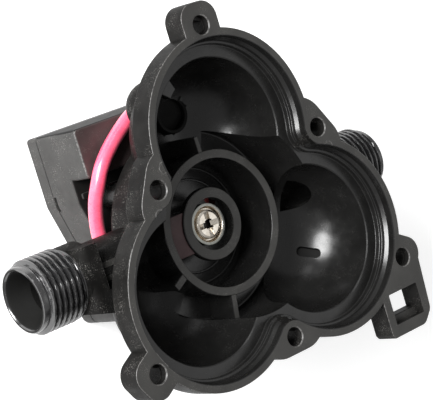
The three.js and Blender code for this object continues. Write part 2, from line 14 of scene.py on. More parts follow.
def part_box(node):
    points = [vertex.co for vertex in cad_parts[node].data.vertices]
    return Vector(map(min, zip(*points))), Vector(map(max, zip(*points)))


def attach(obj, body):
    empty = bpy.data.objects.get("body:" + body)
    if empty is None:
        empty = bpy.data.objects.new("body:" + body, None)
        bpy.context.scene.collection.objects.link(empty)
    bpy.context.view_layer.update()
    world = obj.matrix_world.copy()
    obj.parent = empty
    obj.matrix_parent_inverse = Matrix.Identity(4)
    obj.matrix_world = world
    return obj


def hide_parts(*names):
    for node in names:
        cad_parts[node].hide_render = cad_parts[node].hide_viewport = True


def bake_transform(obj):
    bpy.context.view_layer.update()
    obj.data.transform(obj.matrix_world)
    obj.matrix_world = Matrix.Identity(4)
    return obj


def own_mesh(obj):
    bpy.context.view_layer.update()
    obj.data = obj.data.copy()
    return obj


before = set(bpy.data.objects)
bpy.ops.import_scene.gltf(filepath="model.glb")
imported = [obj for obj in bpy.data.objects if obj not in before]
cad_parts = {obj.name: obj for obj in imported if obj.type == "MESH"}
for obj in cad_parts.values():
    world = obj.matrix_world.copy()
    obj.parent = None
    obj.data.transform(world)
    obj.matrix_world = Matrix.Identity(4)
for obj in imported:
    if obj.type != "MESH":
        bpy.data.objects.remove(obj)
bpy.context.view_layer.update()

MM = 0.001


def box_mm(node):
    """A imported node's lowest and highest corners in millimetres."""
    low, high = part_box(node)
    return Vector(low) / MM, Vector(high) / MM


def placed(name, data):
    """A new object in the scene, made from a mesh, a curve, a light, or a camera."""
    piece = bpy.data.objects.new(name, data)
    bpy.context.scene.collection.objects.link(piece)
    return piece


# ---- camera
CAMERA_PLACE = Vector((-308.7, 67.7, 436.6)) * MM
CAMERA_RIGHT = Vector((0.7303, -0.2890, 0.6190)).normalized()
CAMERA_UP = Vector((0.3007, 0.9496, 0.0887)).normalized()
LENS = 147.46


def make_camera():
    data = bpy.data.cameras.new("camera")
    data.lens = LENS
    data.sensor_width = 36
    data.clip_start = 0.01
    data.clip_end = 20
    camera = placed("camera", data)
    back = CAMERA_RIGHT.cross(CAMERA_UP).normalized()
    up = back.cross(CAMERA_RIGHT).normalized()
    turn = Matrix((CAMERA_RIGHT, up, back)).transposed()
    camera.matrix_world = Matrix.Translation(CAMERA_PLACE) @ turn.to_4x4()
    bpy.context.scene.camera = camera


make_camera()


# ---- sizes
HOUSING_LOW, HOUSING_HIGH = box_mm("valve_housing")
CASE_LOW_Z = box_mm("switch_case")[0].z
COVER_TOP_Z = box_mm("switch_cover")[1].z

FLANGE_Z = HOUSING_HIGH.z
FLANGE_THICK = 7.5
FLANGE_BACK_Z = FLANGE_Z - FLANGE_THICK
LEDGE_Z = FLANGE_Z - 6.2
STEP_HIGH_Z = FLANGE_Z - 2.2
STEP_LOW_Z = FLANGE_Z - 4.5
LOBE_DEGREES = (90, 210, 330)
NOTCH_DEGREES = (30, 150, 270)
LOBE_OFFSET = 25.4
LOBE_R = 28.7
POCKET_R = 26.3
NOTCH_BLEND_R = 5.5
BOWL_R = 21.3
BOWL_FLOOR_Z = 31.0
WALL = 2.4
LUG_OFFSET = 55.6
LUG_R = 6.5
TAB_OFFSET = 35.1
HOLE_R = 2.7
HOLE_FLAT = 0.62  # how far out the flat in the lower part of a screw hole lies, as a share of its radius

RING_OUTER_R = 21.0
RING_INNER_R = 18.4
RING_TOP_Z = 43.6
RING_FLOOR_Z = 29.0
WELL_R = 27.6
WELL_FLOOR_Z = 33.0
BOSS_R = 10.7
BOSS_TOP_Z = 39.2
BOSS_RECESS_R = 7.6
SCREW_TOP_Z = box_mm("middle_screw")[1].z
HOUSING_BACK_Z = HOUSING_LOW.z
RIBS = (  # direction, outer end, thickness, foot
    (90.5, 25.6, 1.5, BOWL_FLOOR_Z - 1), (209, 25.2, 2.2, BOWL_FLOOR_Z - 1),
    (260, 27.8, 2.0, WELL_FLOOR_Z - 1),
)

TOP_HOLE_PLACE = (1.3, 33.0)
TOP_HOLE_R = 4.45
TOP_RIM_R = 5.6
TOP_RIM_Z = 34.2
TOP_HOLE_FLOOR_Z = 32.5
SLOT_MIDDLE = (33.9, -19.9, 36.2)
SLOT_HALF = (3.7, 1.5)
SLOT_DEPTH = 1.7
SLOT_TILT = -41
SLOT_TURN = -32
BRIDGE_LOW_X = -18.4
BRIDGE_HIGH_X = -10.7

PORT_Z = 35.8
PORT_MOUTH_X = HOUSING_HIGH.x
PORT_BORE_R = 6.0
PORT_MOUTH_R = 7.9
NECK_R = 10.0
WAIST_R = 8.4
WAIST_END_X = 45.0
THREAD_R = 10.48
THREAD_PITCH = 1.814
THREAD_TURNS = 6.5
THREAD_DEPTH = 1.16
LEAD_IN = 1.6

SWITCH_Y = 5.0
LEAD_DIAMETER = 4.3
CASE_FRONT_Z = 17.0
CASE_SCREWS = ((-18, 16), (18, 16))
DIAPHRAGM_ACTIVE_R = 12.0

EDGE = 0.35  # common moulded edge radius


# ---- outlines and meshes
def polar(radius, degrees):
    turn = math.radians(degrees)
    return radius * math.cos(turn), radius * math.sin(turn)


def rounded(corners, steps=5, closed=True):
    """Corners are (x, y) or (x, y, radius); each corner with a radius becomes an arc."""
    made = []
    count = len(corners)
    for i, corner in enumerate(corners):
        here = Vector(corner[:2])
        radius = corner[2] if len(corner) > 2 else 0
        if radius == 0 or (not closed and i in (0, count - 1)):
            made.append(tuple(here))
            continue
        before = Vector(corners[i - 1][:2]) - here
        after = Vector(corners[(i + 1) % count][:2]) - here
        half = before.angle(after) / 2
        reach = min(radius / math.tan(half), 0.49 * before.length, 0.49 * after.length)
        radius = reach * math.tan(half)
        middle = here + (before.normalized() + after.normalized()).normalized() * (radius / math.sin(half))
        start = here + before.normalized() * reach - middle
        end = here + after.normalized() * reach - middle
        sweep = end.angle_signed(start)
        for step in range(steps + 1):
            angle = sweep * step / steps
            c, s = math.cos(angle), math.sin(angle)
            made.append((middle.x + start.x * c - start.y * s, middle.y + start.x * s + start.y * c))
    return made


def rectangle(low_x, high_x, low_y, high_y, radius, steps=5):
    corners = ((low_x, low_y), (high_x, low_y), (high_x, high_y), (low_x, high_y))
    return rounded([(x, y, radius) for x, y in corners], steps)


def circle(radius, sides, x=0.0, y=0.0):
    return [(x + px, y + py) for px, py in (polar(radius, 360 * i / sides) for i in range(sides))]


def arc(radius, start, end, x=0.0, y=0.0, steps=12):
    """Points along an arc about (x, y), from one direction to another, both in degrees."""
    turns = [start + (end - start) * step / steps for step in range(steps + 1)]
    return [(x + px, y + py) for px, py in (polar(radius, turn) for turn in turns)]


def offset(outline, distance):
    """The outline moved out by a distance, or in where it is negative; it runs anticlockwise."""
    moved = []
    count = len(outline)
    for i, point in enumerate(outline):
        here = Vector(point)
        along_in = (here - Vector(outline[i - 1])).normalized()
        along_out = (Vector(outline[(i + 1) % count]) - here).normalized()
        normal_in = Vector((along_in.y, -along_in.x))
        normal_out = Vector((along_out.y, -along_out.x))
        middle = (normal_in + normal_out).normalized()
        stretch = 1 / max(0.5, middle.dot(normal_in))
        moved.append(tuple(here + middle * distance * stretch))
    return moved


def make_object(name, points, faces):
    mesh = bpy.data.meshes.new(name)
    mesh.from_pydata([tuple(c * MM for c in p) for p in points], [], faces)
    mesh.update()
    return placed(name, mesh)


def lofted(rings):
    """Quads between rings of equal length, with a cap on each end."""
    sides = len(rings[0])
    points = [point for ring in rings for point in ring]
    faces = []
    for row in range(len(rings) - 1):
        low = row * sides
        high = low + sides
        for i in range(sides):
            j = (i + 1) % sides
            faces.append((low + i, low + j, high + j, high + i))
    faces.append(tuple(reversed(range(sides))))
    faces.append(tuple(range(len(points) - sides, len(points))))
    return make_object("loft", points, faces)


def slab(outline, low, high, soft_low=EDGE, soft_high=EDGE, steps=3):
    """An outline raised from low to high, with round edges."""
    rings = []
    for step in range(steps + 1):
        turn = math.radians(90 * step / steps)
        ring = offset(outline, -soft_low * (1 - math.sin(turn))) if soft_low else outline
        rings.append([(x, y, low + soft_low * (1 - math.cos(turn))) for x, y in ring])
        if not soft_low:
            break
    for step in range(steps + 1):
        turn = math.radians(90 * step / steps)
        ring = offset(outline, -soft_high * (1 - math.cos(turn))) if soft_high else outline
        rings.append([(x, y, high - soft_high * (1 - math.sin(turn))) for x, y in ring])
        if not soft_high:
            break
    return lofted(rings)


def turned(profile, sides, x=0.0, y=0.0, z=0.0, axis="Z", closed=False):
    """A solid of revolution; the profile is (radius, height) from the bottom of the axis round to its top."""
    points, rows = [], []
    for radius, height in profile:
        if radius < 1e-6:
            rows.append([len(points)])
            points.append((0.0, 0.0, height))
        else:
            rows.append(list(range(len(points), len(points) + sides)))
            points += [(px, py, height) for px, py in circle(radius, sides)]
    faces = []
    pairs = list(zip(rows, rows[1:]))
    if closed:
        pairs.append((rows[-1], rows[0]))
    for low, high in pairs:
        for i in range(sides):
            j = (i + 1) % sides
            if len(low) == 1 and len(high) > 1:
                faces.append((low[0], high[j], high[i]))
            elif len(high) == 1 and len(low) > 1:
                faces.append((low[i], low[j], high[0]))
            elif len(low) > 1:
                faces.append((low[i], low[j], high[j], high[i]))
    turns = {"Z": lambda p: p, "X": lambda p: (p[2], p[0], p[1]), "Y": lambda p: (p[1], p[2], p[0])}
    points = [(px + x, py + y, pz + z) for px, py, pz in map(turns[axis], points)]
    return make_object("turned", points, faces)


def spun(profile, steps, sides, x=0.0, y=0.0, z=0.0, axis="Z"):
    """A solid of revolution with round corners, from one end of its axis to the other."""
    return turned(rounded(profile, steps, closed=False), sides, x, y, z, axis)


def post(radius, low, high, x=0.0, y=0.0, sides=48, soft=0.0):
    """An upright cylinder with round rims."""
    profile = [(0, low), (radius, low, soft), (radius, high, soft), (0, high)]
    return spun(profile, 3, sides, x, y)


def prism(outline, low, high):
    """An outline raised with sharp edges, for cutting."""
    return slab(outline, low, high, 0, 0)


def collar(inner, outer, low, high, soft, steps, sides, x=0.0, y=0.0):
    """A round wall with soft edges on its top."""
    profile = ((inner, low), (outer, low), (outer, high, soft), (inner, high, soft))
    return turned(rounded(profile, steps), sides, x, y, closed=True)


def posts(places, radius, low, high, sides, soft=0.0):
    return [post(radius, low, high, x, y, sides, soft) for x, y in places]


def block(low_x, high_x, low_y, high_y, low_z, high_z, radius, soft, steps=3):
    return slab(rectangle(low_x, high_x, low_y, high_y, radius, steps), low_z, high_z, soft, soft, 2)


def turn_piece(piece, degrees, axis, pivot):
    """Turns a new piece's vertices about a pivot in millimetres."""
    place = Matrix.Translation(Vector(pivot) * MM)
    spin = Matrix.Rotation(math.radians(degrees), 4, axis)
    piece.data.transform(place @ spin @ place.inverted())
    return piece


def combine(body, tools, operation):
    """Joins the tools to a body, or cuts them from it, and throws the tools away."""
    for tool in tools:
        step = body.modifiers.new("boolean", "BOOLEAN")
        step.operation = operation
        step.solver = "MANIFOLD"
        step.object = tool
    graph = bpy.context.evaluated_depsgraph_get()
    made = bpy.data.meshes.new_from_object(body.evaluated_get(graph))
    old = body.data
    body.modifiers.clear()
    body.data = made
    bpy.data.meshes.remove(old)
    for tool in tools:
        mesh = tool.data
        bpy.data.objects.remove(tool)
        bpy.data.meshes.remove(mesh)
    return body


def join(body, *tools):
    return combine(body, tools, "UNION")


def cut(body, *tools):
    return combine(body, tools, "DIFFERENCE")


def finish_piece(piece, node, suffix, materials, body="housing", angle=38, name=None):
    """Names a piece, shades it, gives it its materials, and puts it in place of its CAD node.

    A piece given no body is left without a parent.
    """
    piece.name = name or f"{node}_{suffix}"
    piece.data.name = piece.name
    kinds = [polygon.material_index for polygon in piece.data.polygons]
    piece.data.materials.clear()
    for material in materials:
        piece.data.materials.append(material)
    for polygon, kind in zip(piece.data.polygons, kinds):
        polygon.material_index = min(kind, len(materials) - 1)
        polygon.use_smooth = True
    piece.data.set_sharp_from_angle(angle=math.radians(angle))
    weights = piece.modifiers.new("weights", "WEIGHTED_NORMAL")
    weights.keep_sharp = True
    if body:
        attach(piece, body)
    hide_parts(node)


def paint(piece, kind):
    """Gives each face the material that kind picks from its middle, in millimetres, and its normal."""
    for polygon in piece.data.polygons:
        polygon.material_index = kind(*(c / MM for c in polygon.center), polygon.normal)


# ---- red lead
LEAD_ROUTE = (
    (-24.6, -13.4, 20.0), (-24.6, -10.0, 20.0), (-24.8, -7.0, 20.05), (-25.5, -2.5, 20.5), (-26.4, 2.0, 21.0),
    (-26.9, 6.0, 21.6), (-27.0, 9.4, 22.3), (-26.9, 13.0, 23.4), (-26.6, 16.8, 25.0), (-25.7, 20.9, 27.0),
    (-24.0, 24.6, 28.0), (-21.3, 27.8, 28.4), (-17.5, 30.9, 28.4), (-13.5, 33.5, 28.2), (-9.2, 35.8, 28.0),
    (-5.0, 37.3, 27.7), (-1.0, 37.9, 27.6), (3.0, 38.0, 27.6), (7.4, 38.0, 27.6),
)


def smooth_path(points, steps):
    """A Catmull-Rom line through the points, with the ends carried straight on."""
    stops = [Vector(p) for p in points]
    stops = [2 * stops[0] - stops[1], *stops, 2 * stops[-1] - stops[-2]]
    path = []
    for i in range(1, len(stops) - 2):
        before, here, there, after = stops[i - 1 : i + 3]
        for step in range(steps):
            t = step / steps
            path.append(
                0.5 * (2 * here + (there - before) * t + (2 * before - 5 * here + 4 * there - after) * t * t
                       + (3 * here - before - 3 * there + after) * t * t * t)
            )
    path.append(stops[-2])
    return path


WIRE_SMOOTHNESS = 10


def wire_along(path, radius, name):
    """A round wire as a curve of one open spline."""
    data = bpy.data.curves.new(name, "CURVE")
    data.dimensions = "3D"
    data.bevel_depth = radius * MM
    data.bevel_resolution = WIRE_SMOOTHNESS
    data.use_fill_caps = True
    spline = data.splines.new("POLY")
    spline.points.add(len(path) - 1)
    for point, place in zip(spline.points, path):
        point.co = (*(place * MM), 1)
    spline.use_smooth = True
    return placed(name, data)


def make_lead(material):
    path = smooth_path(LEAD_ROUTE, 6)
    lead = wire_along(path, LEAD_DIAMETER / 2, "red_lead_insulation")
    lead.data.materials.append(material)
    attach(lead, "housing")
    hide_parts("red_lead")


# ---- materials
class Surface:
    """A material being built: one Principled shader with procedural inputs."""

    def __init__(self, name):
        self.material = bpy.data.materials.new(name)
        self.material.use_nodes = True
        self.tree = self.material.node_tree
        self.tree.nodes.clear()
        output = self.tree.nodes.new("ShaderNodeOutputMaterial")
        self.shader = self.tree.nodes.new("ShaderNodeBsdfPrincipled")
        self.tree.links.new(self.shader.outputs[0], output.inputs[0])
        self.place = self.tree.nodes.new("ShaderNodeTexCoord").outputs["Object"]

    def fill(self, node, **inputs):
        """Sets each named input of a node, or links it where another node's output is given."""
        for name, source in inputs.items():
            socket = node.inputs[name.replace("_", " ")]
            if isinstance(source, bpy.types.NodeSocket):
                self.tree.links.new(source, socket)
            else:
                socket.default_value = source
        return node

    def add(self, kind, **inputs):
        return self.fill(self.tree.nodes.new("ShaderNode" + kind), **inputs)

    def look(self, **inputs):
        self.fill(self.shader, **inputs)

    def noise(self, size, detail=4.0, roughness=0.55, stretch=None):
        """Noise with features of about the size given in millimetres."""
        place = self.add("Mapping", Vector=self.place, Scale=stretch).outputs[0] if stretch else self.place
        scale = 1 / (size * MM)
        node = self.add("TexNoise", Vector=place, Scale=scale, Detail=detail, Roughness=roughness)
        return node.outputs["Fac"]

    def ramp(self, source, stops):
        """Colours by value: stops are (place, colour)."""
        node = self.add("ValToRGB", Fac=source)
        elements = node.color_ramp.elements
        while len(elements) < len(stops):
            elements.new(0.5)
        for element, (place, colour) in zip(elements, stops):
            element.position = place
            element.color = (*colour, 1)
        return node.outputs["Color"]

    def spread(self, source, low, high, from_low=0.3, from_high=0.7):
        limits = {"From_Min": from_low, "From_Max": from_high, "To_Min": low, "To_Max": high}
        return self.add("MapRange", Value=source, **limits).outputs["Result"]

    def mix(self, factor, first, second):
        """The first colour, an output, with a share of the second, a plain colour, mixed in."""
        node = self.add("Mix")
        node.data_type = "RGBA"
        self.fill(node, Factor=factor)
        socket_a, socket_b = [s for s in node.inputs if s.type == "RGBA"]
        self.tree.links.new(first, socket_a)
        socket_b.default_value = (*second, 1)
        return next(s for s in node.outputs if s.type == "RGBA")

    def bump(self, height, depth, strength=1.0):
        """Relief of the depth given in millimetres."""
        return self.add("Bump", Height=height, Strength=strength, Distance=depth * MM).outputs["Normal"]


DUST_AND_GLINT_COLOUR = (0.19, 0.183, 0.172)
SPECK_SIZE = 0.24


def moulded(name, dark, light, gloss, grain, relief, specks=0.0, shine=0.5, cloud_size=9.0):
    """Moulded plastic: cloudy colour, uneven gloss, moulded grain, and pale specks that stand for dust and
    scuffs and partly for painted glints.
    """
    s = Surface(name)
    colour = s.ramp(s.noise(cloud_size, 3), ((0.35, dark), (0.7, light)))
    if specks:
        dots = s.noise(SPECK_SIZE, 1.0, 0.4)
        patches = s.noise(5, 2)
        dust_and_glint_mask = s.add("Math")
        dust_and_glint_mask.operation = "MULTIPLY"
        s.tree.links.new(s.spread(dots, 0, 1, 0.63, 0.70), dust_and_glint_mask.inputs[0])
        s.tree.links.new(s.spread(patches, 0, specks, 0.45, 0.65), dust_and_glint_mask.inputs[1])
        # Pale specks mixed into the colour: dust and scuffs, partly painted glints.
        colour = s.mix(dust_and_glint_mask.outputs[0], colour, DUST_AND_GLINT_COLOUR)
    fine = s.noise(grain, 2.5)
    rough = s.spread(s.noise(2.5, 4), *gloss)
    s.look(Base_Color=colour, Roughness=rough, Normal=s.bump(fine, relief), Specular_IOR_Level=shine)
    return s.material


def metal(name, dark, light, smooth, rough, scratch=(1, 1, 1)):
    """Brushed metal: uneven colour, with fine scratches that run the way they are stretched."""
    s = Surface(name)
    brushed = s.noise(0.6, 5, 0.6, stretch=scratch)
    s.look(
        Metallic=1.0,
        Base_Color=s.ramp(s.noise(2.2, 4), ((0.3, dark), (0.7, light))),
        Roughness=s.spread(brushed, smooth, rough),
        Normal=s.bump(brushed, 0.01, 0.6),
    )
    return s.material


def rubber(name, dark, light, smooth, rough, grain=0.25, relief=0.015, coat=0.0, sheen=0.0):
    s = Surface(name)
    s.look(
        Coat_Weight=coat, Coat_Roughness=0.3, Sheen_Weight=sheen,
        Base_Color=s.ramp(s.noise(4, 3), ((0.3, dark), (0.7, light))),
        Roughness=s.spread(s.noise(1.2, 3), smooth, rough),
        Normal=s.bump(s.noise(grain, 2), relief),
    )
    return s.material


SATIN_BLACK = moulded("satin_black", (0.024, 0.0234, 0.022), (0.034, 0.0332, 0.031), (0.34, 0.46),
    grain=0.14, relief=0.006, specks=0.6, shine=0.32)
# Outer walls: real moulded grain, coloured darker than the faces as painted shade.
GRAINED_SHADED_BLACK = moulded("grained_shaded_black", (0.005, 0.0048, 0.0046), (0.011, 0.0107, 0.0101), (0.38, 0.52),
    grain=0.3, relief=0.035, specks=0.8, shine=0.04)
POLISHED_BLACK = moulded("polished_black", (0.006, 0.0059, 0.0057), (0.009, 0.0089, 0.0086), (0.21, 0.29),
    grain=0.6, relief=0.002, specks=0.12, shine=0.42)
THREAD_BLACK = moulded("thread_black", (0.009, 0.009, 0.0094), (0.016, 0.016, 0.0164), (0.13, 0.25),
    grain=0.25, relief=0.006, specks=0.4, shine=1.0)
CASE_BLACK = moulded("case_black", (0.025, 0.0245, 0.0235), (0.036, 0.0352, 0.0338), (0.4, 0.54),
    grain=0.28, relief=0.03, specks=0.8, shine=0.25)
CASE_FRONT = moulded("case_front", (0.040, 0.029, 0.0285), (0.058, 0.043, 0.042), (0.36, 0.5),
    grain=0.28, relief=0.02, specks=0.5, shine=0.3)
# A light edge colour that is partly wear and partly a painted highlight on rounded outer edges.
WORN_AND_HIGHLIT_EDGE = moulded("worn_and_highlit_edge", (0.018, 0.0175, 0.017), (0.13, 0.127, 0.122), (0.3, 0.5),
    grain=0.3, relief=0.01, specks=1.0, shine=0.4, cloud_size=0.6)
# Dull black that reflects almost nothing: painted shade on the case's top and lower front, and in the
# housing's slot, top hole and port bore, which it keeps dark.
DULL_SHADE_BLACK = moulded("dull_shade_black", (0.007, 0.007, 0.0068), (0.010, 0.010, 0.0096), (0.5, 0.62),
    grain=0.3, relief=0.01, specks=0.0, shine=0.08)
DULL_RED = moulded("dull_red", (0.030, 0.0135, 0.0145), (0.046, 0.020, 0.0215), (0.36, 0.5),
    grain=0.25, relief=0.01, specks=0.3, shine=0.3)
DARK_SWITCH = moulded("dark_switch", (0.014, 0.014, 0.016), (0.02, 0.02, 0.023), (0.3, 0.45),
    grain=0.2, relief=0.006)
ACETAL = moulded("white_acetal", (0.62, 0.59, 0.52), (0.74, 0.72, 0.66), (0.34, 0.48),
    grain=0.3, relief=0.004)
RED_PVC = rubber("red_pvc", (0.86, 0.085, 0.165), (0.90, 0.12, 0.205), 0.24, 0.32, 0.6, 0.003, coat=1.0)
RED_RUBBER = rubber("red_rubber", (0.30, 0.03, 0.03), (0.42, 0.05, 0.045), 0.5, 0.65, 0.2, 0.02, sheen=0.2)
NICKEL = metal("nickel", (0.62, 0.56, 0.48), (0.86, 0.81, 0.73), 0.16, 0.34, (1, 1, 6))
DULL_NICKEL = metal("dull_nickel", (0.30, 0.305, 0.28), (0.40, 0.405, 0.375), 0.36, 0.5, (3, 1, 1))
# Painted shade: a dark metal for the inside of the middle screw's square recess.
RECESS_SHADE_METAL = metal("recess_shade_metal", (0.035, 0.032, 0.029), (0.06, 0.055, 0.05), 0.4, 0.55)
ZINC = metal("zinc_steel", (0.42, 0.42, 0.41), (0.60, 0.60, 0.58), 0.28, 0.48, (4, 1, 1))
SPRING_STEEL = metal("spring_steel", (0.36, 0.35, 0.34), (0.52, 0.51, 0.49), 0.2, 0.34, (1, 1, 5))
BRASS = metal("brass", (0.52, 0.38, 0.16), (0.68, 0.52, 0.26), 0.22, 0.4, (1, 5, 1))

make_lead(RED_PVC)


# ---- housing: flange, bowls, and ring
LOBES = [polar(LOBE_OFFSET, degrees) for degrees in LOBE_DEGREES]


def at_degrees(corners, degrees):
    """Corners given (out, across, radius) along a direction from the middle axis."""
    c, s = polar(1, degrees)
    return [(out * c - across * s, out * s + across * c, *rest) for out, across, *rest in corners]


def flange_plates():
    plates = []
    for degrees in LOBE_DEGREES:
        plates.append(slab(circle(LOBE_R, 128, *polar(LOBE_OFFSET, degrees)), FLANGE_BACK_Z, FLANGE_Z))
        lug = (
            (36, -LUG_R - 3.4), (44, -LUG_R - 1.6, 9), (52, -LUG_R + 0.05, 9),
            (LUG_OFFSET + LUG_R, -LUG_R, LUG_R), (LUG_OFFSET + LUG_R, LUG_R, LUG_R),
            (52, LUG_R - 0.05, 9), (44, LUG_R + 1.6, 9), (36, LUG_R + 3.4),
        )
        plates.append(slab(rounded(at_degrees(lug, degrees), 14), FLANGE_BACK_Z, FLANGE_Z))
    for degrees in NOTCH_DEGREES:
        tab = ((18, -15), (35, -14.2, 10), (39.9, -6.4, 9), (39.9, 6.4, 9), (35, 14.2, 10), (18, 15))
        plates.append(slab(rounded(at_degrees(tab, degrees), 12), FLANGE_BACK_Z, FLANGE_Z))
    return plates


BOWL_STEPS = 18
BOWL_FULLNESS = 0.9  # under 1, the bowl is a little fuller than an ellipsoid


def bowl_profile(radius, floor_z, rim_z):
    """Half of a round-bottomed bowl, from its lowest point to its rim."""
    made = []
    for step in range(BOWL_STEPS + 1):
        turn = math.radians(90 * step / BOWL_STEPS)
        rise = (rim_z - floor_z) * (1 - math.cos(turn))
        made.append((radius * math.sin(turn) ** BOWL_FULLNESS, floor_z + rise))
    return made


def domes():
    wide = BOWL_R + WALL
    profile = bowl_profile(wide, BOWL_FLOOR_Z - WALL, LEDGE_Z - 2) + [(wide, LEDGE_Z), (0, LEDGE_Z)]
    return [turned(profile, 96, x, y) for x, y in LOBES]


def bowl_cutters():
    wide = BOWL_R + 0.3
    rim = [(BOWL_R, LEDGE_Z - 0.3), (wide, LEDGE_Z), (wide, LEDGE_Z + 0.5), (0, LEDGE_Z + 0.5)]
    profile = bowl_profile(BOWL_R, BOWL_FLOOR_Z, LEDGE_Z - 1) + rim
    return [turned(profile, 96, x, y) for x, y in LOBES]


def pocket_outline(inset):
    """The flange's opening, anticlockwise: three lobe arcs, joined by arcs that bend the other way."""
    across = LOBE_OFFSET * math.sin(math.radians(60))
    blend_offset = LOBE_OFFSET / 2 + math.sqrt((POCKET_R + NOTCH_BLEND_R) ** 2 - across**2)
    blend_x, blend_y = polar(blend_offset, 60)
    swing = math.degrees(math.atan2(blend_y, blend_x - LOBE_OFFSET))
    points = []
    for degrees in LOBE_DEGREES:
        lobe = polar(LOBE_OFFSET, degrees)
        points += arc(POCKET_R - inset, degrees - swing, degrees + swing, *lobe, steps=72)
        notch = polar(blend_offset, degrees + 60)
        bend = arc(NOTCH_BLEND_R + inset, degrees + swing + 180, degrees + 300 - swing, *notch)
        points += bend[1:-1]
    return points


def pocket_cutter():
    """The flange's opening: a wall with a chamfer and a small step down to the ledge."""
    profile = (
        (-1.9, LEDGE_Z), (-1.5, LEDGE_Z, 0.3), (-1.5, STEP_LOW_Z, 0.3), (-0.7, STEP_LOW_Z, 0.3),
        (-0.7, STEP_HIGH_Z - 1.05, 0.15), (0, STEP_HIGH_Z, 0.15), (0, FLANGE_Z - EDGE),
        (0.1, FLANGE_Z - 0.12), (EDGE, FLANGE_Z), (EDGE, FLANGE_Z + 1),
    )
    levels = rounded(profile, 4, closed=False)
    return lofted([[(x, y, z) for x, y in pocket_outline(-outward)] for outward, z in levels])


HOLES = [polar(LUG_OFFSET, d) for d in LOBE_DEGREES] + [polar(TAB_OFFSET, d) for d in NOTCH_DEGREES]


def hole_cutters():
    """Screw holes that are round at the top and have a flat on one side lower down."""
    made = []
    flat = math.radians(72.4)
    for x, y in HOLES:
        mouth = (
            (0, FLANGE_Z - 2.4), (HOLE_R, FLANGE_Z - 2.4), (HOLE_R, FLANGE_Z - 0.3),
            (HOLE_R + 0.3, FLANGE_Z), (HOLE_R + 0.3, FLANGE_Z + 1), (0, FLANGE_Z + 1),
        )
        made.append(turned(mouth, 40, x, y))
        half = math.acos(HOLE_FLAT)
        turns = [flat + half + (2 * math.pi - 2 * half) * i / 30 for i in range(31)]
        lower = [(x + (HOLE_R - 0.15) * math.cos(a), y + (HOLE_R - 0.15) * math.sin(a)) for a in turns]
        made.append(prism(lower, FLANGE_BACK_Z - 1, FLANGE_Z - 1))
    return made


def pin_marks():
    """Shallow round marks left by the mould's ejector pins on the flange face."""
    profile = ((1.45, FLANGE_Z - 0.16), (1.85, FLANGE_Z + 0.1), (1.3, FLANGE_Z + 0.1))
    marks = ((150, (33.5, 6.6)), (30, (33.5, -6.4)), (150, (34.4, -6.3)))
    places = [at_degrees([place], degrees)[0] for degrees, place in marks]
    return [turned(profile, 32, x, y, closed=True) for x, y in places]


def bowl_fittings():
    """The rim of the top bowl's blind opening, the hook on its ledge, and the right bowl's small collar."""
    foot = BOWL_FLOOR_Z - 0.8
    made = [collar(TOP_HOLE_R, TOP_RIM_R, foot, TOP_RIM_Z, 0.35, 4, 56, *TOP_HOLE_PLACE)]
    x, y = LOBES[0]
    hook = arc(BOWL_R + 1, 121, 135, x, y, 6) + [*reversed(arc(18.4, 123, 133, x, y, 5))]
    made.append(slab(hook, LEDGE_Z - 3, LEDGE_Z - 0.2, 0.3, 0.3, 2))
    made.append(collar(2.3, 3.0, foot, BOWL_FLOOR_Z + 0.9, 0.3, 3, 40, *polar(24, 330)))
    return made


def bowl_tools():
    """The blind round opening in the top bowl, and the blind slot in the right bowl's side."""
    opening = post(TOP_HOLE_R, TOP_HOLE_FLOOR_Z, BOWL_FLOOR_Z + 6, *TOP_HOLE_PLACE, 56, 0.3)
    x, y, z = SLOT_MIDDLE
    half_x, half_y = SLOT_HALF
    outline = rectangle(x - half_x, x + half_x, y - half_y, y + half_y, half_y - 0.05, 8)
    slot = slab(outline, z - SLOT_DEPTH, z + 6, 0.3, 0)
    turn_piece(slot, SLOT_TILT, "Y", SLOT_MIDDLE)
    turn_piece(slot, SLOT_TURN, "Z", SLOT_MIDDLE)
    return [opening, slot]


def ring_and_boss():
    ring = [collar(RING_INNER_R, RING_OUTER_R, RING_FLOOR_Z - 2, RING_TOP_Z, 0.3, 3, 128)]
    for radius, height in ((17.0, 0.9), (13.6, 0.6)):
        top = RING_FLOOR_Z + height
        ring.append(collar(radius - 0.35, radius + 0.35, RING_FLOOR_Z - 1, top, 0.2, 2, 96))
    boss = (
        (0, RING_FLOOR_Z - 1), (6.5, RING_FLOOR_Z - 1), (6.5, BOSS_TOP_Z - 3.2, 0.8),
        (BOSS_R, BOSS_TOP_Z - 2.2, 0.5), (BOSS_R, BOSS_TOP_Z, 0.5), (0, BOSS_TOP_Z),
    )
    ring.append(spun(boss, 4, 72))
    ring.append(block(-RING_INNER_R - 1, -6, -6.2, 6.2, RING_FLOOR_Z - 1, BOSS_TOP_Z - 0.6, 0.4, 0.4))
    return ring


def ribs():
    made = []
    for degrees, outer, thick, foot in RIBS:
        half = thick / 2
        inner = RING_INNER_R + 1.5
        rib = ((inner, -half), (outer, -half, 0.3), (outer, half, 0.3), (inner, half))
        made.append(slab(rounded(at_degrees(rib, degrees), 2), foot, RING_TOP_Z - 0.2, 0, 0.25, 2))
    return made


# ---- housing: ports, web, and bracket
def thread_rise(phase):
    """Height of the thread's ridge, from 0 at the root to 1 on the crest, over one turn."""
    side = 1 - abs(2 * phase - 1)
    level = min(1.0, max(0.0, (side - 0.22) / 0.5))
    return level * level * (3 - 2 * level)


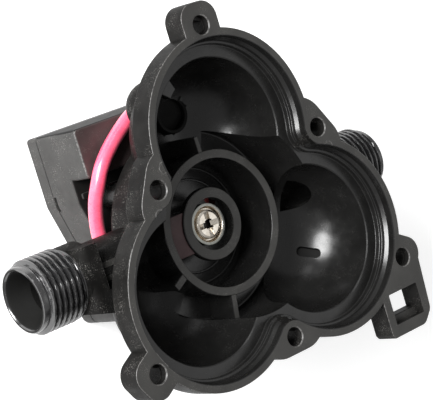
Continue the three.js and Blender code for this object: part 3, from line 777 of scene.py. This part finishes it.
def port_sleeve(side):
    """The outside of one port along X: smooth neck, helical thread, plain lead-in, and chamfered mouth."""
    sides = 96
    root = THREAD_R - THREAD_DEPTH
    end = PORT_MOUTH_X - LEAD_IN
    start = end - (THREAD_TURNS + 0.5) * THREAD_PITCH
    steps = 12
    rows = [(24.0, WAIST_R, 0.0), (WAIST_END_X - 0.5, WAIST_R, 0.0), (WAIST_END_X, WAIST_R + 0.3, 0.0)]
    rows += [(WAIST_END_X + 0.3, NECK_R - 0.3, 0.0), (WAIST_END_X + 0.7, NECK_R, 0.0)]
    rows += [(start - 1.2, NECK_R, 0.0), (start - 0.3, root + 0.1, 0.0)]
    count = int((end - start) / THREAD_PITCH * steps)
    for row in range(count + 1):
        x = start + (end - start) * row / count
        run_in = min(1.0, (x - start) / (0.7 * THREAD_PITCH), (end - x) / (0.5 * THREAD_PITCH) + 0.02)
        rows.append((x, root, THREAD_DEPTH * run_in))
    rows += [(end + 0.2, root, 0.0), (PORT_MOUTH_X - 0.45, root, 0.0)]
    rows += [(PORT_MOUTH_X - 0.12, root - 0.12, 0.0), (PORT_MOUTH_X, root - 0.4, 0.0)]
    rings = []
    for x, radius, depth in rows:
        ring = []
        for i in range(sides):
            turn = i / sides
            reach = radius + depth * thread_rise((x / THREAD_PITCH + turn) % 1.0)
            angle = 2 * math.pi * turn * side
            ring.append((x * side, reach * math.cos(angle), PORT_Z + reach * math.sin(angle)))
        rings.append(ring)
    return lofted(rings)


def port_bore(side):
    """A turned tool on one port's axis; its profile is (radius, distance from the middle)."""
    profile = (
        (0, 30), (PORT_BORE_R, 30), (PORT_BORE_R, PORT_MOUTH_X - 7, 0.5),
        (PORT_MOUTH_R, PORT_MOUTH_X - 1, 0.4), (PORT_MOUTH_R + 0.2, PORT_MOUTH_X - 0.4),
        (PORT_MOUTH_R + 0.55, PORT_MOUTH_X), (PORT_MOUTH_R + 0.55, PORT_MOUTH_X + 1),
        (0, PORT_MOUTH_X + 1),
    )
    profile = rounded(profile, 3, closed=False)
    if side < 0:
        profile = [(radius, -x) for radius, x in reversed(profile)]
    return turned(profile, 72, 0, 0, PORT_Z, axis="X")


def neck_web():
    """The stiffening web on the left neck, with a wide round outer front corner and a sharp inner one."""
    outer = -51.2
    stops = ((-37.0, None), (-37.0, -4.6), (-45.0, -4.6), (-45.0, 8.8))  # inner side, and height along Y
    rings = []
    for inner, level in stops:
        corners = ((inner, 33.8), (outer, 33.8), (outer, 45.9, 3.2), (inner, 45.9, 0.25))
        ring = []
        for x, z in rounded(corners, 6):
            slope = -9.4 - 4.0 * (x - outer) / (inner - outer)
            ring.append((x, slope if level is None else level, z))
        rings.append(ring)
    return lofted(rings)


def swelling():
    """The ball-shaped swelling on the back of the top bowl."""
    radius = 7.7
    turns = [math.pi * i / 24 for i in range(25)]
    profile = [(max(0, radius * math.sin(turn)), -radius * math.cos(turn)) for turn in turns]
    return turned(profile, 64, -8.5, 37.2, 39.5)


def strap_bracket():
    arm = (
        (36.5, -49.3, 0.8), (49.8, -49.3, 3.0), (53.4, -45.7, 3.0), (54.4, -29), (44, -24), (35.6, -36),
        (35.6, -48, 0.8),
    )
    strap = slab(rounded(arm, 5), FLANGE_BACK_Z, FLANGE_Z)
    low = FLANGE_BACK_Z - 1
    window = block(38.4, 50.2, -45.7, -36.5, low, FLANGE_Z + 1, 0.3, 0)
    slot = block(38.4, 50.2, -47.6, -45, low, FLANGE_Z - 2, 0.3, 0)
    step = block(48, 50.9, -44.5, -37.5, low, FLANGE_Z - 5, 0.2, 0, 2)
    cut(strap, window, slot, step)
    return join(strap, block(38, 50.8, -46.5, -43.6, FLANGE_BACK_Z, FLANGE_Z - 3.4, 0.2, 0.2))


def is_worn_and_highlit(x, y, z, normal):
    """Whether a face lies on a handled outer edge, which takes a light colour that is partly wear and partly a
    painted highlight: the flange's front rim, or the neck web's corner.
    """
    if z > FLANGE_Z - EDGE - 0.02 and 0.4 < normal.z < 0.85:
        return math.hypot(x, y) > 31 or abs(x) > 34
    return -46.5 < x < -44.5 and z > 45.5 and 0.1 < normal.z < 0.93


HOUSING_MATERIALS = [
    SATIN_BLACK, GRAINED_SHADED_BLACK, POLISHED_BLACK, THREAD_BLACK, WORN_AND_HIGHLIT_EDGE, DULL_RED, DULL_SHADE_BLACK
]
SATIN, GRAINED_SHADED, POLISHED, THREAD, WORN_HIGHLIT, RED, DULL_SHADE = range(len(HOUSING_MATERIALS))


def surface_kind(x, y, z, normal):
    """Which of the housing's materials a face takes."""
    across = math.hypot(y, z - PORT_Z)
    thread_start = PORT_MOUTH_X - LEAD_IN - (THREAD_TURNS + 0.6) * THREAD_PITCH
    if abs(x) > thread_start and across < THREAD_R + 1:
        # Inside the bore the dull black keeps it dark: painted shade.
        return THREAD if across > PORT_MOUTH_R + 0.3 else DULL_SHADE
    # Light line on handled outer edges: partly wear, partly painted highlight.
    if is_worn_and_highlit(x, y, z, normal):
        return WORN_HIGHLIT
    # The slot and the top hole take the dull black as painted shade.
    if in_slot(x, y, z, normal):
        return DULL_SHADE
    from_hole = math.hypot(x - TOP_HOLE_PLACE[0], y - TOP_HOLE_PLACE[1])
    if from_hole < TOP_RIM_R + 0.2 and z < TOP_RIM_Z + 0.1:
        return DULL_SHADE
    if BRIDGE_LOW_X < x < BRIDGE_HIGH_X and abs(y) < 6.2 and normal.z > 0.9 and 37.5 < z < BOSS_TOP_Z:
        return RED
    on_step = RING_TOP_Z + 0.5 < z < FLANGE_Z - 0.1 and math.hypot(x, y) < LOBE_OFFSET + LOBE_R
    if normal.z > 0.95 and z > BOSS_TOP_Z - 0.5 and not on_step:
        return SATIN
    for lobe_x, lobe_y in LOBES:
        away = Vector((x - lobe_x, y - lobe_y))
        if away.length < POCKET_R + 0.5 and z < FLANGE_Z - 0.05:
            inward = -(away.x * normal.x + away.y * normal.y) / max(away.length, 0.01)
            if inward + normal.z > 0.02 or (math.hypot(x, y) < WELL_R + 0.3 and normal.z > -0.1):
                return POLISHED
    if math.hypot(x, y) < WELL_R + 0.2 and RING_FLOOR_Z - 1 < z < LEDGE_Z:
        return POLISHED
    # Everything else is outer wall, darker as painted shade.
    return GRAINED_SHADED


def in_slot(x, y, z, normal):
    """Whether a face is inside the right bowl's blind slot."""
    tilt = Matrix.Rotation(math.radians(SLOT_TILT), 3, "Y")
    back = (Matrix.Rotation(math.radians(SLOT_TURN), 3, "Z") @ tilt).inverted()
    place = back @ (Vector((x, y, z)) - Vector(SLOT_MIDDLE))
    half_x, half_y = SLOT_HALF
    if abs(place.x) > half_x + 0.1 or abs(place.y) > half_y + 0.1 or place.z > 2:
        return False
    return (back @ Vector(normal)).z < 0.7 or place.z < 0.5 - SLOT_DEPTH


def make_housing():
    plates = flange_plates()
    body = plates[0]
    neck = post(RING_OUTER_R, HOUSING_BACK_Z, LEDGE_Z - 8, sides=128, soft=0.4)
    well = post(WELL_R + WALL, WELL_FLOOR_Z - WALL, LEDGE_Z, sides=128, soft=1.2)
    join(body, *plates[1:], *domes(), swelling(), neck, well, port_sleeve(-1), port_sleeve(1), neck_web(),
         strap_bracket(), *posts(CASE_SCREWS, 3.4, CASE_FRONT_Z + 0.3, 36, 48, 0.3))
    cut(body, pocket_cutter(), *bowl_cutters())
    cut(body, post(WELL_R, WELL_FLOOR_Z, LEDGE_Z + 1, sides=128, soft=0.8))
    cut(body, post(RING_INNER_R, RING_FLOOR_Z, RING_TOP_Z, sides=128), port_bore(-1), port_bore(1))
    join(body, *ring_and_boss(), *ribs(), *bowl_fittings())
    cut(
        body,
        post(BOSS_RECESS_R, SCREW_TOP_Z - 2.4, BOSS_TOP_Z + 1, sides=64),
        post(2.3, RING_FLOOR_Z - 0.5, BOSS_TOP_Z, sides=32),
        post(2, HOUSING_BACK_Z - 1, RING_FLOOR_Z + 1, 9.3, SWITCH_Y, 24),
        post(DIAPHRAGM_ACTIVE_R, HOUSING_BACK_Z - 1, HOUSING_BACK_Z + 0.8, 0, SWITCH_Y, 64),
        *posts(CASE_SCREWS, 1.6, CASE_FRONT_Z, 28, 24),
        *bowl_tools(),
        *hole_cutters(),
        *pin_marks(),
    )
    paint(body, surface_kind)
    finish_piece(body, "valve_housing", "", HOUSING_MATERIALS, name="housing_moulding")


make_housing()


# ---- switch case and cover
SIDE_CORNERS = (  # right side of the case from its lower corner up, with how round each corner is
    (27, -20, 4), (27, -13.5, 2.5), (24, -8.5, 2.5), (24, 4.5, 4), (27, 16.7, 4), (27, 37.5, 1.2),
)
CASE_WALL = 2.0
CASE_UPPER_Y = 23.0
CASE_HIGH_Z = 25.0
CHAMBER_R = 15.0
CHAMBER_ROOM_R = 12.0
COVER_SCREWS = ((-22.5, -15.5), (22.5, -15.5), (-22.5, 33.0), (22.5, 33.0))
CASE_SCREW_SEAT_R = 3.4
GLAND_R = 3.6
GLAND_SOCKET_R = 2.45
LOW_GLAND = (-24.6, 0, 20)
HIGH_GLAND = (0, 38, 27.6)


def case_outline(inset=0.0):
    """The waisted outline that the case and its cover share, anticlockwise."""
    right = []
    for x, y, radius in SIDE_CORNERS:
        if y < -19:
            y += inset
        elif y > 37:
            y -= inset
        right.append((x - inset, y, max(0.3, radius - inset)))
    left = [(-x, y, radius) for x, y, radius in reversed(right)]
    return rounded([*right, *left], 6)


def upper_outline(inset=0.0):
    """The outline of the case's deeper top part."""
    return rectangle(-27 + inset, 27 - inset, CASE_UPPER_Y + inset, 37.5 - inset, 1.2, 5)


def sleeve(axis, low, high, radius, x, y, z):
    """A round sleeve along X or Y, with soft rims."""
    return spun(((0, low), (radius, low, 0.4), (radius, high, 0.4), (0, high)), 4, 48, x, y, z, axis)


def bored(axis, low, high, radius, x, y, z, sides=48):
    return turned([(0, low), (radius, low), (radius, high), (0, high)], sides, x, y, z, axis)


CASE_MATERIALS = [CASE_BLACK, CASE_FRONT, WORN_AND_HIGHLIT_EDGE, DULL_SHADE_BLACK]
SIDES, UPPER_FRONT, WORN_HIGHLIT_LINE, CASE_SHADE = range(len(CASE_MATERIALS))


def case_kind(x, y, z, normal):
    """Which of the case's materials a face takes: its top and its lower front take the dull black as painted
    shade, and its upper left front edge a light line that is partly wear and partly a painted highlight.
    """
    # Upper left front edge: a light line, partly wear and partly painted highlight.
    if x < -26 and z > CASE_FRONT_Z + 4 and 0.5 < normal.z < 0.85 and abs(normal.y) < 0.5:
        return WORN_HIGHLIT_LINE
    # Painted shade on the case's top.
    if y > CASE_UPPER_Y and normal.y > 0.7:
        return CASE_SHADE
    if normal.z < 0.7 or z < CASE_FRONT_Z - 1:
        return SIDES
    # The upper front takes the front colour, the lower front the dull black as painted shade.
    return UPPER_FRONT if y > CASE_UPPER_Y else CASE_SHADE


def make_case():
    body = slab(case_outline(), CASE_LOW_Z, CASE_FRONT_Z, 0.2, 0.7, 4)
    chamber_top = HOUSING_BACK_Z - 1.9
    profile = ((0, 15), (CHAMBER_R, 15), (CHAMBER_R, chamber_top, 0.5), (0, chamber_top))
    chamber = spun(profile, 4, 96, 0, SWITCH_Y)
    low_foot = block(-27, -21, -16, -9, CASE_FRONT_Z - 1.5, 20, 0.6, 0.2)
    high_foot = block(3.4, 10, 34.4, 37.5, 23, 27.6, 0.4, 0.2)
    upper = slab(upper_outline(), CASE_FRONT_Z - 2, CASE_HIGH_Z, 0.2, 0.7, 4)
    glands = [sleeve("Y", -16, -9, GLAND_R, *LOW_GLAND), sleeve("X", 3, 10, GLAND_R, *HIGH_GLAND)]
    join(body, upper, chamber, low_foot, high_foot, *glands)
    cut(body, slab(case_outline(CASE_WALL), CASE_LOW_Z - 1, CASE_FRONT_Z - CASE_WALL, 0, 0.8, 3),
        slab(upper_outline(CASE_WALL), CASE_LOW_Z - 1, CASE_HIGH_Z - CASE_WALL, 0, 0.8, 3),
        post(CHAMBER_ROOM_R, 19, HOUSING_BACK_Z, 0, SWITCH_Y, 96))
    columns = posts(COVER_SCREWS, 3.2, CASE_LOW_Z, CASE_FRONT_Z - 1, 40)
    seats = posts(CASE_SCREWS, CASE_SCREW_SEAT_R, 12, CASE_FRONT_Z - 1, 40)
    join(body, post(5, 13, 18, 0, SWITCH_Y, 48), *columns, *seats)
    fine_marks = [
        block(-28, -25.8, 14.9, 19.4, CASE_LOW_Z - 1, CASE_LOW_Z + 1.2, 0.4, 0),
        block(-20.5, 20.5, -11.5, -7.5, CASE_FRONT_Z - 0.7, CASE_FRONT_Z + 1, 1.2, 0, 4),
    ]
    cut(
        body,
        post(3.3, 10, 20, 0, SWITCH_Y, 40),
        *posts(COVER_SCREWS, 1.2, CASE_LOW_Z - 1, 14, 24),
        *posts(CASE_SCREWS, 1.6, 11, 20, 24),
        *posts(CASE_SCREWS, 2.9, 11, 14, 32),
        bored("Y", -14, -8, GLAND_SOCKET_R, *LOW_GLAND),
        bored("X", 2, 8, GLAND_SOCKET_R, *HIGH_GLAND),
        *fine_marks,
    )
    ridges = []
    for low, high in ((-25.4, -9.5), (9.5, 25.4)):
        ridge = rectangle(low, high, 17.2, 19.0, 0.5, 3)
        ridges.append(slab(ridge, CASE_FRONT_Z - 0.5, CASE_FRONT_Z + 0.7, 0, 0.3, 2))
    join(body, *ridges, block(12.5, 15.5, 36.2, 37.5, CASE_HIGH_Z - 0.5, CASE_HIGH_Z + 0.9, 0.3, 0.2))
    paint(body, case_kind)
    finish_piece(body, "switch_case", "moulding", CASE_MATERIALS)


def make_cover():
    body = slab(case_outline(), 0, COVER_TOP_Z, 0.6, 0.2, 4)
    cut(body, slab(case_outline(CASE_WALL), 2.2, COVER_TOP_Z + 1, 0.5, 0, 3))
    pads = posts(COVER_SCREWS, 3.6, 1, COVER_TOP_Z, 40, 0.1)
    bars = [block(-19, 19, y - 0.6, y + 0.6, 2, 3.4, 0.3, 0.3) for y in (-9, 20)]
    join(body, post(5.6, 1, 4.2, 0, SWITCH_Y, 56, 0.2), *pads, *bars)
    panel = block(-17.5, 17.5, -7, 30, -1, 0.35, 2.5, 0, 6)
    groove = cut(panel, block(-16.9, 16.9, -6.4, 29.4, -2, 1, 2.1, 0, 6))
    cut(
        body,
        post(3.3, -1, 6, 0, SWITCH_Y, 48),
        collar(4.6, 5.0, -0.3, 0.3, 0, 5, 56, 0, SWITCH_Y),
        groove,
        *posts(COVER_SCREWS, 1.6, -1, 6, 32),
        *posts(COVER_SCREWS, 2.9, -1, 2.6, 40),
    )
    finish_piece(body, "switch_cover", "moulding", [CASE_BLACK])


make_case()
make_cover()


# ---- screws and washer
def cross_recess(x, y, mouth, bottom, arm, width):
    """A tapered cross that cuts a recess in a screw head; its mouth may lie above or below its bottom."""
    rings = []
    for z, share in ((bottom, 0.42), (mouth, 1.0)):
        a, w = arm * share, width / 2 * (0.6 + 0.4 * share)
        plus = ((a, -w), (a, w), (w, w), (w, a), (-w, a), (-w, w),
                (-a, w), (-a, -w), (-w, -w), (-w, -a), (w, -a), (w, -w))
        rings.append([(x + px, y + py, z) for px, py in plus])
    if mouth < bottom:
        rings.reverse()
    return lofted(rings)


def threaded_shank(core, crest, pitch, base, tip, x, y, sides=24):
    """A threaded shank from its base to its tip, which may point up or down."""
    steps = int(abs(tip - base) / pitch * 8)
    rings = []
    for row in range(steps + 1):
        share = row / steps
        z = base + (tip - base) * share
        taper = min(1.0, 0.4 + (1 - share) * abs(tip - base) / 1.2)
        run_in = min(1.0, share * abs(tip - base) / pitch)
        ring = []
        for i in range(sides):
            reach = core + (crest - core) * run_in * thread_rise((z / pitch + i / sides) % 1.0)
            px, py = polar(reach * taper, 360 * i / sides)
            ring.append((x + px, y + py, z))
        rings.append(ring)
    if tip < base:
        rings.reverse()
    return lofted(rings)


def make_screw(node, x, y, head, shank, recess):
    piece = spun(head, 4, 48, x, y)
    join(piece, threaded_shank(*shank, x, y))
    cut(piece, cross_recess(x, y, *recess, 1.4, 0.6))
    finish_piece(piece, node, "metal", [ZINC], angle=30)


def make_screws():
    for kind, places, low, shank, recess in (
        ("cover", COVER_SCREWS, 0.6, (0.72, 1.0, 0.9, 2.0, 13.0), (0.4, 1.5)),
        ("case", CASE_SCREWS, 11.8, (0.95, 1.3, 1.0, 13.2, 26.0), (11.6, 12.7)),
    ):
        head = ((0, low), (1.7, low, 0.8), (2.5, low + 0.7, 0.5), (2.5, low + 1.6, 0.15), (0, low + 1.6))
        for number, (x, y) in enumerate(places, 1):
            make_screw(f"{kind}_screw_{number}", x, y, head, shank, recess)
    make_middle_screw()


RECESS_HALF = 1.3


def make_middle_screw():
    """The bright cross-head screw: four petals and sloping arms round a deep square, whose inside takes a dark
    metal as painted shade.
    """
    head = ((0, 35.8), (3.4, 35.8, 0.2), (4.35, 36.5, 0.4), (4.2, 37.1, 0.4), (3.5, 37.4, 0.4), (0, 37.4))
    piece = spun(head, 4, 72)
    join(piece, threaded_shank(1.55, 2.0, 0.8, 35.9, 30.0, 0, 0))
    square = block(-RECESS_HALF, RECESS_HALF, -RECESS_HALF, RECESS_HALF, 35.3, 38, 0.2, 0, 2)
    cut(piece, cross_recess(0, 0, 37.45, 36.35, 3.75, 1.7), square)
    # Painted shade inside the square recess.
    paint(piece, lambda x, y, z, _: int(max(abs(x), abs(y)) < RECESS_HALF + 0.05 and 35.2 < z < 37))
    finish_piece(piece, "middle_screw", "metal", [NICKEL, RECESS_SHADE_METAL], angle=30)


def make_washer():
    profile = (
        (2.4, 35.3, 0.1), (5.2, 35.3, 0.4), (6.1, 36.7, 0.15), (6.1, 37.05, 0.15), (5.25, 37.1, 0.12),
        (5.0, 36.7, 0.1), (4.8, 35.9, 0.3), (2.4, 35.7, 0.1),
    )
    piece = turned(rounded(profile, 4), 72, closed=True)
    paint(piece, lambda x, y, *_: int(math.hypot(x, y) > 5.3))
    finish_piece(piece, "middle_screw_washer", "metal", [NICKEL, DULL_NICKEL])


make_screws()
make_washer()


# ---- switch works
def make_diaphragm():
    """A rubber disc with a raised bead at its rim and a shallow convolution round its middle."""
    profile = (
        (0, 25.35), (8.6, 25.35), (9.6, 25.5, 0.3), (11, 25.3, 0.4), (14, 25.3, 0.3), (14, 26.3, 0.3),
        (12.6, 26.3, 0.2), (12.2, 25.9, 0.2), (10.6, 25.9, 0.3), (9.6, 26.25, 0.3), (8.6, 26.0, 0.2),
        (0, 26.0),
    )
    piece = spun(profile, 4, 96, 0, SWITCH_Y)
    finish_piece(piece, "pressure_diaphragm", "rubber", [RED_RUBBER])


def make_plunger():
    profile = (
        (0, 11.4), (8, 11.4, 0.3), (8, 12.6, 0.3), (3.6, 12.6, 0.5), (3, 13.2, 0.3), (3, 22.3, 0.4),
        (7.6, 22.9, 0.5), (8.2, 24.9, 0.5), (0, 24.9),
    )
    piece = spun(profile, 4, 72, 0, SWITCH_Y)
    gates = [post(0.5, 24.6, 26, *polar(5, a), 16) for a in (30, 150, 270)]
    for gate in gates:
        gate.data.transform(Matrix.Translation((0, SWITCH_Y * MM, 0)))
    cut(piece, *gates)
    finish_piece(piece, "switch_plunger", "moulding", [ACETAL], "plunger")


SPRING_R = 4.2
SPRING_WIRE_R = 0.4
SPRING_LOW_Z = 6.35
SPRING_HIGH_Z = 10.95
SPRING_TURNS = 3


def spring_half(first_turn, last_turn):
    """Half of a helical wire with closed ends, as a swept round section."""
    rise = SPRING_HIGH_Z - SPRING_LOW_Z
    count = 72
    rings = []
    for i in range(count + 1):
        turn = first_turn + (last_turn - first_turn) * i / count
        free = min(1.0, max(0.0, (turn - 0.6) / (SPRING_TURNS - 1.2)))
        z = SPRING_LOW_Z + 0.12 * turn + (rise - 0.12 * SPRING_TURNS) * free
        angle = 2 * math.pi * turn
        outward = Vector((math.cos(angle), math.sin(angle), 0))
        ring = []
        for step in range(12):
            around = 2 * math.pi * step / 12
            place = outward * (SPRING_R + SPRING_WIRE_R * math.cos(around))
            ring.append((place.x, place.y + SWITCH_Y, z + SPRING_WIRE_R * math.sin(around)))
        rings.append(ring)
    piece = lofted(rings)
    bm = bmesh.new()
    bm.from_mesh(piece.data)
    bmesh.ops.recalc_face_normals(bm, faces=bm.faces)
    bm.to_mesh(piece.data)
    bm.free()
    return piece


def make_spring():
    """The spring in two halves: the lower half has no body and its mesh is baked where it stands, and the
    upper half is attached to the housing.
    """
    half = SPRING_TURNS / 2
    low = spring_half(0, half)
    finish_piece(low, "pressure_spring", "lower_wire", [SPRING_STEEL], None)
    low.modifiers.clear()
    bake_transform(low)
    high = spring_half(half, SPRING_TURNS)
    finish_piece(high, "pressure_spring", "upper_wire", [SPRING_STEEL])
    high.modifiers.clear()
    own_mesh(high)


def make_seat():
    profile = ((0, 4.5), (5.8, 4.5, 0.3), (5.8, 5.9, 0.3), (2.6, 5.9, 0.2), (2.6, 6.7, 0.3), (0, 6.7))
    piece = spun(profile, 4, 64, 0, SWITCH_Y)
    cut(piece, post(1.2, 4, 4.9, 0, SWITCH_Y, 24))
    finish_piece(piece, "spring_seat", "metal", [ZINC], "seat")


def make_adjuster():
    profile = ((0, 0.6), (2.7, 0.6, 0.2), (3.0, 0.9, 0.2), (3.0, 4.0, 0.2), (2.7, 4.3, 0.2), (0, 4.3))
    piece = spun(profile, 3, 48, 0, SWITCH_Y)
    grooves = []
    for z in (1.6, 2.3, 3.0, 3.7):
        grooves.append(turned([(2.75, z), (3.3, z - 0.22), (3.3, z + 0.22)], 48, 0, SWITCH_Y, closed=True))
    socket = prism([(x, y + SWITCH_Y) for x, y in circle(1.4, 6)], -1, 2.4)
    cut(piece, socket, *grooves)
    finish_piece(piece, "adjusting_screw", "metal", [BRASS], "adjuster")


LEVER_PIVOT = (0, 25.6, 10.9)
BLADES_Y = {"terminal_common": 16.0, "terminal_open": 20.5, "terminal_closed": 25.0}


def make_microswitch():
    body = block(-3.2, 3.2, 14, 27, 5.6, 10, 0.4, 0.3)
    cheeks = [block(low, low + 0.8, 24.2, 27, 9, 12, 0.2, 0.2) for low in (-3.2, 2.4)]
    join(body, *cheeks)
    cut(
        body,
        post(1.3, 8.5, 11, 0, 18, 24),
        *[block(-0.6, 0.6, y - 1.8, y + 1.8, 5, 6.8, 0.1, 0) for y in BLADES_Y.values()],
        bored("X", -4, 4, 0.7, *LEVER_PIVOT, 24),
        post(0.6, 9.7, 11, 0, 22, 16),
    )
    finish_piece(body, "microswitch_body", "moulding", [DARK_SWITCH])
    button_profile = ((0, 9.1), (1, 9.1, 0.1), (1, 10.35, 0.4), (0, 10.35))
    button = spun(button_profile, 5, 32, 0, 18)
    finish_piece(button, "microswitch_button", "moulding", [RED_RUBBER], "button")
    lever = block(-1.9, 1.9, 11.2, 25.6, 10.72, 11.08, 0.5, 0.1)
    pivot_profile = ((0, -2.1), (0.6, -2.1, 0.1), (0.6, 2.1, 0.1), (0, 2.1))
    join(lever, spun(pivot_profile, 2, 28, *LEVER_PIVOT, "X"))
    finish_piece(lever, "microswitch_lever", "metal", [SPRING_STEEL], "lever")
    for node, y in BLADES_Y.items():
        blade = block(-0.4, 0.4, y - 1.6, y + 1.6, 2.6, 6.5, 0.1, 0.15)
        cut(blade, bored("X", -1, 1, 0.6, 0, y, 4.0, 20))
        finish_piece(blade, node, "blade", [BRASS])


make_diaphragm()
make_plunger()
make_spring()
make_seat()
make_adjuster()
make_microswitch()


# ---- floor and light
FLOOR_HALF = 3000
FLOOR_GLOW = 0.42


def make_floor():
    corners = [(x * FLOOR_HALF, y * FLOOR_HALF, -0.2) for x, y in ((-1, -1), (1, -1), (1, 1), (-1, 1))]
    piece = make_object("floor", corners, [(0, 1, 2, 3)])
    s = Surface("pale_floor")
    colour = s.ramp(s.noise(400, 2), ((0.3, (0.86, 0.86, 0.86)), (0.7, (0.88, 0.88, 0.88))))
    s.look(Base_Color=colour, Roughness=0.8, Emission_Color=(1, 1, 1, 1), Emission_Strength=FLOOR_GLOW)
    piece.data.materials.append(s.material)


def soft_box(name, direction, away, width, height, radiance):
    """An area light that faces the middle of the object; its brightness is set by radiance."""
    middle = Vector((0, 0, 0.04))
    data = bpy.data.lights.new(name, "AREA")
    data.shape = "ELLIPSE"
    data.size = width
    data.size_y = height
    data.energy = radiance * math.pi * width * height
    light = placed(name, data)
    towards = Vector(direction).normalized()
    light.location = middle + towards * away
    light.rotation_mode = "QUATERNION"
    light.rotation_quaternion = towards.to_track_quat("Z", "Y")


def make_lights():
    world = bpy.data.worlds.new("world")
    world.use_nodes = True
    background = world.node_tree.nodes["Background"]
    background.inputs["Color"].default_value = (1, 1, 1, 1)
    background.inputs["Strength"].default_value = 0.5
    bpy.context.scene.world = world
    soft_box("key_left", (-0.80, 0.42, 0.43), 0.9, 0.66, 0.42, 22.0)
    soft_box("rim_left", (-0.965, -0.05, 0.25), 0.9, 0.14, 0.16, 12.0)
    soft_box("top_edge", (-0.02, 0.85, 0.53), 1.0, 0.50, 0.12, 3.0)
    soft_box("fill_right", (0.62, -0.15, 0.77), 1.6, 0.9, 0.9, 0.5)
    bpy.context.scene.view_settings.view_transform = "Standard"


make_floor()
make_lights()
